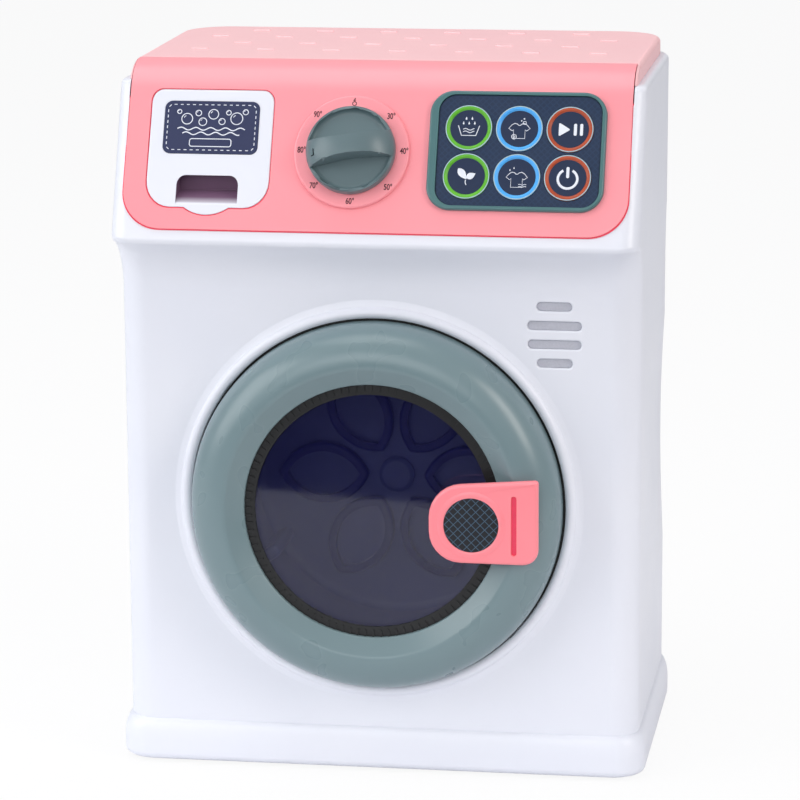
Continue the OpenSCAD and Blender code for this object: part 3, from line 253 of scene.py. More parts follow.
def soften(piece, width, angle=40):
    """Rounds every sharp edge."""
    return modify(piece, "BEVEL", width=width, segments=3, limit_method="ANGLE",
                  angle_limit=radians(angle), miter_outer="MITER_ARC")


def cut(piece, *tools, operation="DIFFERENCE"):
    """Cuts tools out of a piece, or joins them on, and throws them away."""
    for tool in tools:
        modify(piece, "BOOLEAN", object=tool, operation=operation, solver="EXACT")
        bpy.data.objects.remove(tool)
    return piece


def lay(piece, place):
    """Puts a piece in a place while it is still in millimetres."""
    use(piece)
    piece.matrix_world = place @ piece.matrix_world
    bpy.ops.object.transform_apply()
    return piece


def join(*pieces):
    """Makes one piece of several that only touch or sink into each other."""
    clear()
    for piece in pieces:
        piece.select_set(True)
    bpy.context.view_layer.objects.active = pieces[0]
    if len(pieces) > 1:
        bpy.ops.object.join()
    bpy.ops.object.transform_apply()
    return pieces[0]


def repeat(piece, places):
    """Copies a piece to several places, and makes one piece of the copies."""
    made = []
    for place in places:
        copy = piece.copy()
        copy.data = piece.data.copy()
        bpy.context.collection.objects.link(copy)
        copy.matrix_world = place @ piece.matrix_world
        made.append(copy)
    bpy.data.objects.remove(piece)
    return join(*made)


def settle(piece, name, place, material, body, slot, *nodes, smooth=35):
    """Puts a finished piece in place in metres, gives it its material, attaches it to its body and hides the
    CAD nodes it replaces.
    """
    lay(piece, Matrix.Scale(0.001, 4) @ STAND @ place)
    piece.name = piece.data.name = name
    bpy.ops.object.shade_smooth_by_angle(angle=radians(smooth))
    modify(piece, "WEIGHTED_NORMAL", keep_sharp=True, weight=50)
    piece.data.materials.clear()
    piece.data.materials.append(material)
    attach(piece, body)
    if nodes:
        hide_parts(*nodes)
    return piece


def rise(made, low, high, edge=0.0, foot=0.0):
    """Raises a flat outline from low to high, and rounds its top and bottom edges."""
    every()
    move(z=low)
    extrude(z=high - low)
    for level, radius in ((high, edge), (low, foot)):
        if radius:
            pick("edges", lambda p: abs(p.z - level) < 1e-4)
            bevel(radius)
    return tidy(made)


def plate(w, h, r, low, high, edge=0.0, foot=0.0, steps=8):
    """A flat plate with round corners."""
    made = start("plane", size=1)
    scale(w, h, 1, (0, 0, 0))
    every()
    bevel(r, steps, "VERTICES")
    return rise(made, low, high, edge, foot)


def flare(piece, w, h, steps):
    """Widens a plate of w by h upwards, in steps of (rise, width and height added in all)."""
    edit(piece)
    pick("faces", lambda c, n: n.z > 0.9)
    wide, tall = w, h
    for up, grow in steps:
        extrude(z=up)
        scale((w + grow) / wide, (h + grow) / tall, 1, (0, 0, 0))
        wide, tall = w + grow, h + grow
    return tidy(piece)


def tile(w, first, last, r, far=False):
    """A flat face w wide that runs from first to last in y, with its two near or far corners rounded."""
    made = start("plane", size=1)
    scale(w, last - first, 1, (0, 0, 0))
    move(0, (first + last) / 2)
    pick("verts", lambda p: (p.y > (first + last) / 2) == far)
    bevel(r, 14, "VERTICES")
    return made


def trail(points):
    """A chain of edges through points in x and y, left in edit mode."""
    made = start("plane", size=1)
    every()
    bpy.ops.mesh.merge(type="CENTER")
    move(*points[0])
    for here, there in zip(points, points[1:]):
        extrude(there[0] - here[0], there[1] - here[1])
    every()
    return made


def outline(points, rounds=()):
    """A flat face with its outline through points. rounds gives corners their radii."""
    made = trail(points)
    bpy.ops.mesh.edge_face_add()
    for corner, radius in rounds:
        x, y = points[corner]
        pick("verts", lambda p: abs(p.x - x) + abs(p.y - y) < 1e-3)
        bevel(radius, 7, "VERTICES")
    return made


def prism(points, low, high, rounds=(), edge=0.0, foot=0.0):
    """A solid of one outline from low to high."""
    return rise(outline(points, rounds), low, high, edge, foot)


def lathe(points, rounds=(), steps=96):
    """Turns a closed outline of (radius, height) about the upright."""
    made = outline(points, rounds)
    every()
    bpy.ops.mesh.delete(type="ONLY_FACE")
    every()
    bpy.ops.transform.rotate(value=-pi / 2, orient_axis="X", center_override=(0, 0, 0))
    bpy.ops.mesh.spin(steps=steps, angle=tau, center=(0, 0, 0), axis=(0, 0, 1))
    return tidy(made)


def stroke(points, wide, high=0.12, closed=False):
    """A raised printed line through points in x and y, with round ends."""
    trail(points)
    if closed:
        bpy.ops.mesh.edge_face_add()
        bpy.ops.mesh.delete(type="ONLY_FACE")
    return wire(wide, high)


def wire(wide, high):
    """Makes a raised line of the edges that are being edited."""
    bpy.ops.object.mode_set(mode="OBJECT")
    bpy.ops.object.convert(target="CURVE")
    made = bpy.context.object
    made.data.bevel_depth = wide / 2
    made.data.bevel_resolution = 2
    made.data.use_fill_caps = True
    bpy.ops.object.convert(target="MESH")
    return lay(bpy.context.object, Matrix.Diagonal((1, 1, 2 * high / wide, 1)))


def arc(steps, first, last):
    """Angles in radians, from the first to the last, in equal steps."""
    return [radians(first + (last - first) * i / steps) for i in range(steps + 1)]


def ring(x, y, r, steps=24, first=0, last=360):
    """Points on a circle, or on part of one."""
    angles = arc(steps, first, last)
    if last - first == 360:
        angles = angles[:-1]
    return [(x + r * cos(a), y + r * sin(a)) for a in angles]


def tower(half, back, back_r, levels):
    """A closed wall that rises through levels of (height, side growth, front depth, front radius)."""
    z, out, near, r = levels[0]
    made = start("plane", size=2)
    scale(half + out, (back - near) / 2, 1, (0, 0, 0))
    move(0, (back + near) / 2, z)
    pick("verts", lambda p: p.y < (back + near) / 2)
    bevel(r, 10, "VERTICES")
    pick("verts", lambda p: p.y > back - 0.01)
    bevel(back_r, 12, "VERTICES")
    every()
    for next_z, next_out, next_near, next_r in levels[1:]:
        extrude(z=next_z - z)
        for side in (-1, 1):
            pick("verts", lambda p: p.z > next_z - 1e-4 and side * p.x > half - back_r - 1)
            move(x=side * (next_out - out))
        pick("verts", lambda p: p.z > next_z - 1e-4 and p.y < near + r + 0.01)
        move(y=next_near - near)
        if next_r != r:
            for side in (-1, 1):
                corner = (side * (half + next_out), next_near, next_z)
                pick("verts", lambda p: p.z > next_z - 1e-4 and side * p.x > half + next_out - r - 0.01
                     and p.y < next_near + r + 0.01)
                scale(next_r / r, next_r / r, 1, corner)
        pick("verts", lambda p: p.z > next_z - 1e-4)
        z, out, near, r = next_z, next_out, next_near, next_r
    return tidy(made)


def moulded(name, colour, other, rough, peel=0.0000040, mottle=22.0, shading=None):
    """Moulded plastic. Flow marks a few cm long shift its colour a little, the gloss
    wanders over about 11 mm, and a 1.6 mm orange peel softens its highlights.
    shading is a function that paints shade into the colour by place."""
    material, tree = blank(name)
    where = add(tree, "TexCoord").outputs["Object"]
    flow = add(tree, "TexNoise", {"Vector": where, "Scale": mottle, "Detail": 1.0})
    gloss = add(tree, "TexNoise", {"Vector": where, "Scale": 90.0, "Detail": 1.0})
    skin = add(tree, "TexNoise", {"Vector": where, "Scale": 620.0, "Detail": 0.0})
    tint = add(tree, "Mix", {0: flow, 6: linear(colour), 7: linear(other)}, data_type="RGBA")
    last = tint.outputs[2]
    if shading:
        last = shading(tree, where, last)
    sheen = add(tree, "MapRange", {0: gloss, 1: 0.1, 2: 0.9, 3: rough - 0.03, 4: rough + 0.04})
    bump = add(tree, "Bump", {"Height": skin, "Distance": peel, "Strength": 1.0})
    shader = add(tree, "BsdfPrincipled", {"Base Color": last, "Roughness": sheen,
                                          "IOR": 1.53, "Normal": bump})
    add(tree, "OutputMaterial", {0: shader})
    return material


# White ABS from a polished mould: a cool white, glossy but softened by orange peel.
white_abs = moulded("white_abs", "#e6e8f0", "#e0e3ed", 0.32)

SIDE_R, REAR_R = 11.0, 22.0          # upright corners in front and behind
SKIRT, FOOT_R = 2.6, 3.0             # how far the skirt stands out, and its lower rounding
SKIRT_Z, SKIRT_R = 9.0, 8.5          # where the skirt starts to roll in, and how high
FLARE_R, FLARE_Z, FLARE_TURN = 23.5, 187.0, 60.7     # hollow under the head
LIP_R = 2.35             # rounding of the lip under the panel
HEAD_TOP, TOP_R = 265.0, 2.0         # where the head's top edge starts to round over
end = radians(FLARE_TURN)
lip_y = 0.3 - FLARE_R + FLARE_R * cos(end)
lip_z = FLARE_Z + FLARE_R * sin(end)
levels = [(4 - FOOT_R * sin(a), SKIRT - FOOT_R + FOOT_R * cos(a),
           FOOT_R - SKIRT - FOOT_R * cos(a), SIDE_R) for a in arc(5, 90, 0)]
levels += [(SKIRT_Z + SKIRT_R * sin(a), SKIRT * cos(a), -SKIRT * cos(a), SIDE_R)
           for a in arc(8, 0, 90)]
levels += [(FLARE_Z + FLARE_R * sin(a), 0.35 * a, min(0, 0.3 - FLARE_R + FLARE_R * cos(a)), SIDE_R)
           for a in arc(12, 0, FLARE_TURN)]
levels += [(lip_z + LIP_R * (sin(a) + sin(end)), 0.45,
            lip_y - LIP_R * (cos(a) - cos(end)), 10 - 3 * i / 6)
           for i, a in enumerate(arc(6, -FLARE_TURN, 25)) if i]
levels += [(263, 0.6, 10.9, 5)]
levels += [(HEAD_TOP + TOP_R * sin(a), 0.6 - TOP_R + TOP_R * cos(a),
            PANEL_Y + (HEAD_TOP - PANEL_Z + TOP_R * sin(a)) * tan(radians(LEAN))
            + TOP_R * (1 - cos(a)), 5) for a in arc(5, 0, 90)]
shell = tower(HALF, BACK, REAR_R, levels)

# The room inside, then the seats for the panel, the door and the cover
for low, high, near in ((3.5, 204.5, WALL), (150, 264.5, 27)):
    cut(shell, tower(HALF - WALL, BACK - WALL, REAR_R - WALL,
                     [(low, 0, near, SIDE_R - WALL), (high, 0, near, SIDE_R - WALL)]))
PANEL_W, CORNER, GAP = 191.4, 15.0, 0.3
pocket = rise(tile(PANEL_W + 2 * GAP, -GAP, 110, CORNER), -2.5, 22.5)
cut(shell, lay(pocket, PANEL),
    lay(plate(PANEL_W - 7, 90, 10, -20, 20), PANEL @ spot(y=48.5)),
    lay(plate(PANEL_W + 0.9, 37, 0.5, 252.7, 290), spot(0, 28)),
    lay(plate(184, 84, 15, 240, 290), spot(0, 78)))

# Bead round the door, moulded on, with a hollow where it meets the face
REBATE_R, OPENING_R = 72.4, 63.0
bead = lathe([(REBATE_R, -2)] + [(REBATE_R + 2.1 + 2.3 * cos(a) - 0.2, 0.25 + 2.35 * sin(a))
                                 for a in arc(10, 180, 12)]
             + [(77.6, 0.28), (79.2, 0.02), (79.4, -2)], steps=128)
cut(shell, lay(bead, DOOR), operation="UNION")
cut(shell, lay(lathe([(0, -20), (OPENING_R, -20), (OPENING_R, -1), (REBATE_R, -1), (REBATE_R, 20), (0, 20)],
                     [(2, 0.6)], steps=128), DOOR))

# Sound slots, with an edge that rolls in
SLOTS = ((67.6, 185, 13.4), (67.7, 177.7, 20.6), (67.75, 170.5, 20.3), (67.8, 163.3, 13.4))
SLOT_H = 3.4
for x, z, length in SLOTS:
    slot = flare(plate(length, SLOT_H, 1.69, -5, -0.8), length, SLOT_H,
                 ((0.3, 0.12), (0.2, 0.36), (0.18, 0.8), (0.14, 1.6), (0.48, 2.0)))
    cut(shell, lay(slot, spot(x, 0, z) @ FRONT))

# Hand recess in each side, and the opening at the back
GRIP_DEEP, GRIP_HALF = 2.1, 49.0
GRIP_R = (GRIP_HALF ** 2 + GRIP_DEEP ** 2) / (2 * GRIP_DEEP)
for side in (-1, 1):
    grip = tidy(start("cylinder", vertices=512, radius=GRIP_R, depth=120))
    cut(shell, lay(grip, spot(side * (HALF - GRIP_DEEP + GRIP_R), 105, 116) @ UP))
REAR_W, REAR_H, REAR_Y = 152.0, 236.0, 134.0         # rear cover, and height of its middle
cut(shell, lay(plate(REAR_W + 2 * GAP, REAR_H + 2 * GAP, 8.3, -10, 3), REAR @ spot(y=REAR_Y)))
settle(shell, "case_moulding", Matrix(), white_abs, "case", "white_plastic", "case_shell", smooth=32)

# Pale felt that lines the slots in front of the speaker, against dust
felt, tree = blank("pale_dust_felt")
where = add(tree, "TexCoord").outputs["Object"]
tuft = add(tree, "TexNoise", {"Vector": where, "Scale": 1500.0, "Detail": 4.0})
tint = add(tree, "Mix", {0: tuft, 6: linear("#bfc0ca"), 7: linear("#abadb8")}, data_type="RGBA")
bump = add(tree, "Bump", {"Height": tuft, "Distance": 0.00012})
shader = add(tree, "BsdfPrincipled", {"Base Color": tint.outputs[2], "Roughness": 0.95, "Sheen Weight": 0.3,
                                      "Normal": bump})
add(tree, "OutputMaterial", {0: shader})
strips = [lay(plate(length - 0.05, SLOT_H - 0.05, 1.66, -2.1, -1.0, edge=0.25), spot(x, 0, z) @ FRONT)
          for x, z, length in SLOTS]
settle(join(*strips), "slot_felt", Matrix(), felt, "case", "inner_white")

# --------------------------------------
# Control panel. A pink ABS moulding that leans back and rolls over into the
# top. The dial is a raised disc with printed numbers; openings take the drawer
# and the buttons.
pink_abs = moulded("pink_abs", "#f8959f", "#fa9da5", 0.33)
PANEL_LEN, ROLL_R, ROLL_TURN = 54.29, 18.0, 65.0
panel = tile(PANEL_W, 0, PANEL_LEN, CORNER)
pick("edges", lambda p: p.y > PANEL_LEN - 1e-3)
bpy.ops.mesh.spin(steps=12, angle=radians(ROLL_TURN), center=(0, PANEL_LEN, -ROLL_R), axis=(1, 0, 0))
TAB = 1.09               # straight end of the roll
extrude(y=TAB * cos(radians(ROLL_TURN)), z=-TAB * sin(radians(ROLL_TURN)))
tidy(panel)
if panel.data.polygons[0].normal.z < 0:
    edit(panel)
    bpy.ops.mesh.flip_normals()
modify(panel, "SOLIDIFY", thickness=2.5, offset=-1)
lay(panel, PANEL)

DRAWER_X, DRAWER_Z, NOTCH_HALF = -63.525, 221.6, 11.85


def drawer_front(gap, depth):
    """The drawer's front outline, with the crescent under its notch, as a block that runs front to back."""
    w, top = 23.55 + gap, 41.9 + gap
    block = prism([(-w, -gap), (w, -gap), (w, top), (-w, top)], -depth, depth,
                  [(0, 9.5), (1, 9.5), (2, 4.5), (3, 4.5)])
    r = 15.6 + gap
    half = degrees(asin(NOTCH_HALF / r))
    crescent = prism([(x, y + 13) for x, y in ring(0, 0, r, 16, -90 - half, -90 + half)]
                     + [(NOTCH_HALF, 6), (-NOTCH_HALF, 6)], -depth, depth)
    cut(block, crescent, operation="UNION")
    return lay(block, spot(DRAWER_X, 0, DRAWER_Z) @ FRONT)


cut(panel, drawer_front(0.35, 55))
soften(panel, 0.5)


def panel_edge(grow, low, high):
    """The panel's lower outline, wider by grow, as a block."""
    return lay(rise(tile(PANEL_W + 2 * grow, -grow, 52, CORNER), low, high), PANEL)


# Deep pink pieces under the gaps round the panel and the drawer: painted shade that shows in the gaps
painted_gap_shade_pink = moulded("painted_gap_shade_abs", "#f2455f", "#ee4059", 0.5)
seat = cut(panel_edge(GAP + 0.1, -1.5, -0.5), panel_edge(-0.1, -9, 9))
around = cut(drawer_front(0.45, 55), drawer_front(0.05, 60))
cut(around, lay(plate(80, 100, 1, -1.3, -0.4), PANEL @ spot(DRAWER_X, 30)), operation="INTERSECT")
settle(join(seat, around), "painted_gap_shade_pieces", Matrix(), painted_gap_shade_pink, "case", "pink_plastic", smooth=32)

# Dial disc, and the openings for the buttons and the knob's shaft
DIAL_X, DIAL_Y, FRAME_X, FRAME_Y = -9.0, 31.0, 53.275, 32.4
disc = lathe([(0, -1), (21.9, -1), (22.05, 0.15), (21.9, 1.5), (0, 1.5)], [(3, 0.8)], steps=96)
cut(panel, lay(disc, PANEL @ spot(DIAL_X, DIAL_Y)), operation="UNION")
cut(panel, lay(plate(63, 42.7, 7.2, -9, 9), PANEL @ spot(FRAME_X, FRAME_Y)),
    lay(plate(7, 7, 3.4, -9, 9), PANEL @ spot(DIAL_X, DIAL_Y)))
settle(panel, "panel_moulding", Matrix(), pink_abs, "case", "pink_plastic", "control_panel", smooth=32)


def printed(name, colour, rough=0.45):
    """Printing ink: slightly uneven in colour over 2 mm, with a fine grain."""
    material, tree = blank(name)
    where = add(tree, "TexCoord").outputs["Object"]
    uneven = add(tree, "TexNoise", {"Vector": where, "Scale": 500.0, "Detail": 2.0})
    grain = add(tree, "TexNoise", {"Vector": where, "Scale": 3500.0})
    tint = add(tree, "Mix", {0: uneven, 6: linear(colour), 7: darker(colour, 0.86)}, data_type="RGBA")
    bump = add(tree, "Bump", {"Height": grain, "Distance": 0.000008})
    shader = add(tree, "BsdfPrincipled", {"Base Color": tint.outputs[2], "Roughness": rough, "IOR": 1.48,
                                          "Normal": bump})
    add(tree, "OutputMaterial", {0: shader})
    return material


# Temperature numbers round the dial, pad-printed in dark red, all upright, and
# a small tap mark at the top.
maroon_ink = printed("maroon_pad_print", "#4e0e1e")
PRINT_Z = 1.5            # the dial's face
signs = []
for word, x, y in (("30°", 14.3, 13.9), ("40°", 20.0, 0.4), ("50°", 14.7, -13.7), ("60°", 0.6, -19.4),
                   ("70°", -13.5, -13.6), ("80°", -19.0, 0.2), ("90°", -13.7, 14.2)):
    clear()
    bpy.ops.object.text_add()
    text = bpy.context.object
    text.data.body = word
    text.data.size = 3.2
    text.data.align_x = text.data.align_y = "CENTER"
    text.data.offset = 0.065
    text.data.extrude = 0.03
    bpy.ops.object.convert(target="MESH")
    signs.append(lay(bpy.context.object, spot(x, y, 0.02) @ Matrix.Diagonal((0.72, 1, 1, 1))))
signs += [stroke(ring(0, 18.7, 0.75, 16), 0.34, 0.06, True),
          stroke([(0, 19.4), (-0.1, 20.2), (0.3, 20.9)], 0.38, 0.06),
          stroke([(-0.5, 19.9), (0.5, 20.1)], 0.34, 0.06)]
settle(join(*signs), "dial_numbers", PANEL @ spot(DIAL_X, DIAL_Y, PRINT_Z), maroon_ink, "case",
       "pink_plastic")

# --------------------------------------
# Top cover. A paler pink moulding set flush into the case, with short raised
# bars in four staggered rows, and thin ears beside the panel's roll.
pale_pink_abs = moulded("pale_pink_abs", "#fbc4c8", "#fcc9cb", 0.38)
COVER_LOW, COVER_TOP = 267.05, 273.6
cover = tile(194, 28.65, 129.6, 19, far=True)
every()
move(z=COVER_LOW)
extrude(z=COVER_TOP - COVER_LOW)
pick("edges", lambda p: p.z > 273 and (abs(p.x) > 77.5 or p.y > 110))
bevel(2.0, 5)
tidy(cover)
for side in (-1, 1):
    ear = lathe([(0, 96), (17.73, 96), (17.4, 96.4), (16.9, 96.75), (16, 97), (0, 97)], steps=128)
    lay(ear, spot(0, 27.26, 255.6) @ Matrix.Rotation(radians(side * 90), 4, "Y"))
    cut(ear, plate(300, 80, 1, 200, COVER_LOW), lay(plate(300, 60, 1, 200, 300), spot(0, 28.7 + 30)))
    cover = join(cover, ear)
bar = plate(6.8, 1.2, 0.58, -0.2, 0.42, edge=0.25, steps=5)
bars = [((i - count / 2) * 26, 55 + row * 20)
        for row, count in enumerate((6, 5, 6, 5)) for i in range(count + 1)]
cover = join(cover, repeat(bar, [spot(x, y, COVER_TOP) for x, y in bars]))
settle(cover, "top_cover_moulding", Matrix(), pale_pink_abs, "case", "pale_pink_plastic", "top_cover",
       smooth=32)

# --------------------------------------
# Detergent drawer. White ABS like the case, with a finger notch whose floor
# slopes out to a crescent lip, and an open tray behind. Shade is painted into
# the notch in a dark mauve that fades out at its floor.


def painted_notch_shade(tree, where, tint):
    """Paints shade into the notch alone, by its place on the object: dark above, white at the front of its
    floor.
    """
    axes = add(tree, "SeparateXYZ", {0: where})
    across = add(tree, "Math", {0: axes.outputs[0], 1: -DRAWER_X / 1000}, operation="ADD")
    off = add(tree, "Math", {0: across}, operation="ABSOLUTE")
    beside = add(tree, "Math", {0: off, 1: (NOTCH_HALF + 0.01) / 1000}, operation="LESS_THAN")
    inward = Vector((0, cos(radians(LEAN)), -sin(radians(LEAN))))
    slope = add(tree, "VectorMath", {0: where, 1: inward}, operation="DOT_PRODUCT")
    plane = inward.dot((0, FACE_Y + PANEL_Y, PANEL_Z)) / 1000
    deep = add(tree, "MapRange", {0: slope.outputs["Value"], 1: plane + 0.0001, 2: plane + 0.0007})
    fade = add(tree, "MapRange", {0: axes.outputs[2], 1: DRAWER_Z / 1000, 2: (DRAWER_Z + 3.4) / 1000})
    near = add(tree, "Math", {0: axes.outputs[1], 1: (FACE_Y + 2.0) / 1000}, operation="LESS_THAN")
    low = add(tree, "Math", {0: axes.outputs[2], 1: (DRAWER_Z + 11.6) / 1000}, operation="LESS_THAN")
    share = deep
    for gate in (fade, beside, near, low):
        share = add(tree, "Math", {0: share, 1: gate}, operation="MULTIPLY")
    # painted shade: the notch's colour turns dark mauve where it lies deep
    return add(tree, "Mix", {0: share, 6: tint, 7: linear("#72556f")}, data_type="RGBA").outputs[2]


# white ABS with painted shade in the finger notch
drawer_abs_painted_shade = moulded("drawer_white_abs_painted_shade", "#e6e8f1", "#e1e4ee", 0.32, shading=painted_notch_shade)
drawer = drawer_front(0, 60)
cut(drawer, lay(plate(80, 100, 1, -2.5, 0), PANEL @ spot(DRAWER_X, 30)), operation="INTERSECT")
soften(drawer, 0.55)
tray = plate(40.1, 58, 0.6, 223.6, 247.6)
lay(tray, spot(DRAWER_X, 47.54 - 29))
cut(tray, lay(plate(60, 140, 1, -2.0, 40), PANEL @ spot(DRAWER_X, 30)),
    lay(plate(60, 40, 1, 240.6, 260), spot(DRAWER_X, 3.54 - 20)),
    lay(plate(36.9, 40.8, 2.0, 225.2, 260, foot=1.2), spot(DRAWER_X, 25.54)))
cut(drawer, tray, operation="UNION")
notch = prism([(-NOTCH_HALF, -6), (NOTCH_HALF, -6), (NOTCH_HALF, 11.5), (-NOTCH_HALF, 11.5)], -1.94, 60,
              [(2, 3.5), (3, 3.5)])
lay(notch, spot(DRAWER_X, 0, DRAWER_Z) @ FRONT)
floor = prism([(3, 226.9), (1.94, 226.9), (0.2, 226.7), (-2, 226.1), (-4.2, 225.1), (-6.2, 223.9),
               (-7.8, 222.9), (-9.2, 222.3), (-12, 221.9), (-60, 221.9), (-60, 200), (3, 200)], -20, 20)
lay(floor, spot(DRAWER_X, turned=90) @ UP)
cut(notch, floor)
LABEL_Y = 39.8
cut(drawer, notch, lay(plate(36.7, 20.9, 3.0, -0.3, 2), PANEL @ spot(DRAWER_X, LABEL_Y)))
settle(drawer, "drawer_moulding", Matrix(), drawer_abs_painted_shade, "drawer", "drawer_white", "drawer", smooth=32)

# Label on the drawer: a navy self-adhesive film with a stitched border in
# white print, an empty rounded frame, a few bubbles and water lines.
navy_film = moulded("navy_label_film", "#18224c", "#1e2953", 0.45, mottle=90.0)
FILM_TOP = 0.2
label = plate(36.5, 20.7, 2.9, -0.3, FILM_TOP, edge=0.12)
settle(label, "label_film", PANEL @ spot(DRAWER_X, LABEL_Y), navy_film, "drawer", "label_blue",
       "drawer_label")
white_ink = printed("white_print", "#e9eef8")
dashes = [(-14.2 + 2.37 * i, y, 0) for i in range(13) for y in (-8.9, 8.9)]
dashes += [(x, -6.3 + 2.1 * i, 90) for i in range(7) for x in (-16.9, 16.9)]
dashes += [(sx * 16.3, sy * 8.35, 45 * -sx * sy) for sx in (-1, 1) for sy in (-1, 1)]
prints = [repeat(plate(1.15, 0.3, 0.14, 0, 0.05), [spot(x, y, 0, turned) for x, y, turned in dashes])]
outline([(-8, -1.5), (8, -1.5), (8, 1.5), (-8, 1.5)], [(i, 0.9) for i in range(4)])
every()
bpy.ops.mesh.delete(type="ONLY_FACE")
prints.append(lay(wire(0.34, 0.05), spot(0, -6.0)))
for x, y, r in ((-9.5, 3.3, 2.1), (-5.2, 5.6, 1.1), (-3.4, 2.2, 1.5), (0.6, 5.2, 1.9), (4.0, 2.4, 1.2),
                (6.4, 5.9, 0.9), (9.6, 3.6, 2.3), (12.9, 6.2, 1.0), (-12.6, 6.1, 0.8)):
    prints.append(stroke(ring(x, y, r, 24), 0.34, 0.05, True))
    prints.append(stroke(ring(x, y, r * 0.6, 5, 110, 160), 0.26, 0.05))
for y, half in ((-0.6, 13), (-2.4, 11)):
    wave = [(-half + 2 * half * i / 40, y + 0.55 * sin(half * 2.2 * i / 40)) for i in range(41)]
    prints.append(stroke(wave, 0.42, 0.05))
settle(join(*prints), "label_print", PANEL @ spot(DRAWER_X, LABEL_Y, FILM_TOP), white_ink, "drawer",
       "label_blue")

# --------------------------------------
# Knob. Grey-green ABS: a dished disc with a thin rim and a waisted, domed grip
# across it. A small mark is cut in the left end of the grip.
grey_green_abs = moulded("grey_green_abs", "#61757a", "#5b6f74", 0.34)
knob = lathe([(0, 1.8), (16.5, 1.8), (16.9, 2.2), (16.9, 4.4), (16.6, 5.3), (15.9, 6.4), (14.6, 7.9),
              (12.4, 9.7), (9.6, 11.3), (6.4, 12.4), (3.2, 12.85), (0, 12.95)], steps=96)
WAIST, HOLLOW_R = 3.5, 78.0          # half the grip's waist, and the radius of its sides
for side in (-1, 1):
    waist = side * (WAIST + HOLLOW_R)
    above = prism(ring(0, waist, HOLLOW_R, 240), 5.2, 30)
    dish = lathe([(0, 3.5), (15.6, 3.5), (15.6, 30), (0, 30)], [(1, 1.7)], steps=96)
    cut(dish, prism(ring(0, waist, HOLLOW_R, 240), 0, 40), operation="INTERSECT")
    cut(knob, above, dish)
soften(knob, 0.3, 38)
cut(knob, lay(plate(0.45, 2.6, 0.2, 6.0, 20), spot(-13.4, -0.4)),
    lay(plate(1.2, 0.45, 0.2, 6.0, 20), spot(-13.9, -1.6)))
settle(knob, "knob_moulding", PANEL @ spot(DIAL_X, DIAL_Y, 0, 9), grey_green_abs, "knob",
       "grey_green_plastic", "knob", smooth=30)

# --------------------------------------
# Button panel. A teal-grey frame, a navy printed sheet and six round keys: a
# coloured ring that slopes to a navy disc with a white sign.
teal_abs = moulded("teal_grey_abs", "#4c7577", "#466e71", 0.30)
bezel = plate(66.6, 46.3, 9, 0, 1.8, edge=0.9, steps=12)
cut(bezel, plate(62.6, 42.3, 7, -3.5, 0.2), operation="UNION")
cut(bezel, lay(plate(61.5, 43.2, 6.6, 0.4, 5, steps=12), spot(0.8)))
KEYS = [(x, y) for y in (41.0, 22.3) for x in (34.875, 53.875, 72.875)]
FRAME_HOLE, SHEET_HOLE, SHEET_X = 9.35, 9.0, 54.075
holes = repeat(lathe([(0, -9), (FRAME_HOLE, -9), (FRAME_HOLE, 9), (0, 9)], steps=64),
               [spot(x - FRAME_X, y - FRAME_Y) for x, y in KEYS])
cut(bezel, holes)
soften(bezel, 0.25, 50)
settle(bezel, "button_bezel", PANEL @ spot(FRAME_X, FRAME_Y), teal_abs, "case", "grey_green_plastic",
       "button_frame", smooth=30)


def lattice(name, colour, thread, pitch, lean, share=1.0, rough=0.4, fine=0.72):
    """A film printed with a fine diamond lattice, with speckles about 1 mm wide."""
    material, tree = blank(name)
    where = add(tree, "TexCoord").outputs["Object"]
    flat = add(tree, "Mapping", {0: where, 2: (radians(lean - 90), 0, radians(45))})
    lines = [add(tree, "TexWave", {"Vector": flat, "Scale": 0.314159 / pitch},
                 bands_direction=way).outputs["Fac"] for way in ("X", "Y")]
    cross = add(tree, "Math", {0: lines[0], 1: lines[1]}, operation="MAXIMUM")
    thin = add(tree, "MapRange", {0: cross, 1: fine, 2: 0.98, 3: 0.0, 4: share})
    speck = add(tree, "TexNoise", {"Vector": where, "Scale": 900.0, "Detail": 2.0})
    cloud = add(tree, "TexNoise", {"Vector": where, "Scale": 70.0, "Detail": 2.0})
    ground = add(tree, "Mix", {0: speck, 6: linear(colour), 7: darker(colour, 0.62)}, data_type="RGBA")
    woven = add(tree, "Mix", {0: thin, 6: ground.outputs[2], 7: linear(thread)}, data_type="RGBA")
    sheen = add(tree, "MapRange", {0: cloud, 1: 0.3, 2: 0.7, 3: rough - 0.05, 4: rough + 0.05})
    bump = add(tree, "Bump", {"Height": cross, "Distance": 0.000012, "Strength": 0.6})
    shader = add(tree, "BsdfPrincipled", {"Base Color": woven.outputs[2], "Roughness": sheen,
                                          "IOR": 1.5, "Normal": bump})
    add(tree, "OutputMaterial", {0: shader})
    return material


navy_sheet = lattice("navy_woven_print", "#06284c", "#1c3a5c", 0.0017, LEAN, 0.35)
sheet = plate(61.2, 42.9, 6.5, 0.4, 1.2, edge=0.15, steps=12)
cut(sheet, repeat(lathe([(0, 0), (SHEET_HOLE, 0), (SHEET_HOLE, 3), (0, 3)], steps=64),
                  [spot(x - SHEET_X, y - FRAME_Y) for x, y in KEYS]))
settle(sheet, "button_film", PANEL @ spot(SHEET_X, FRAME_Y), navy_sheet, "case", "sheet_blue", "button_sheet")
key_disc = printed("navy_key_print", "#0c2346", 0.4)
# a pale ring laid on each key's rim: a painted highlight
rim_highlight_paint = printed("painted_rim_highlight", "#a9c4cf", 0.4)


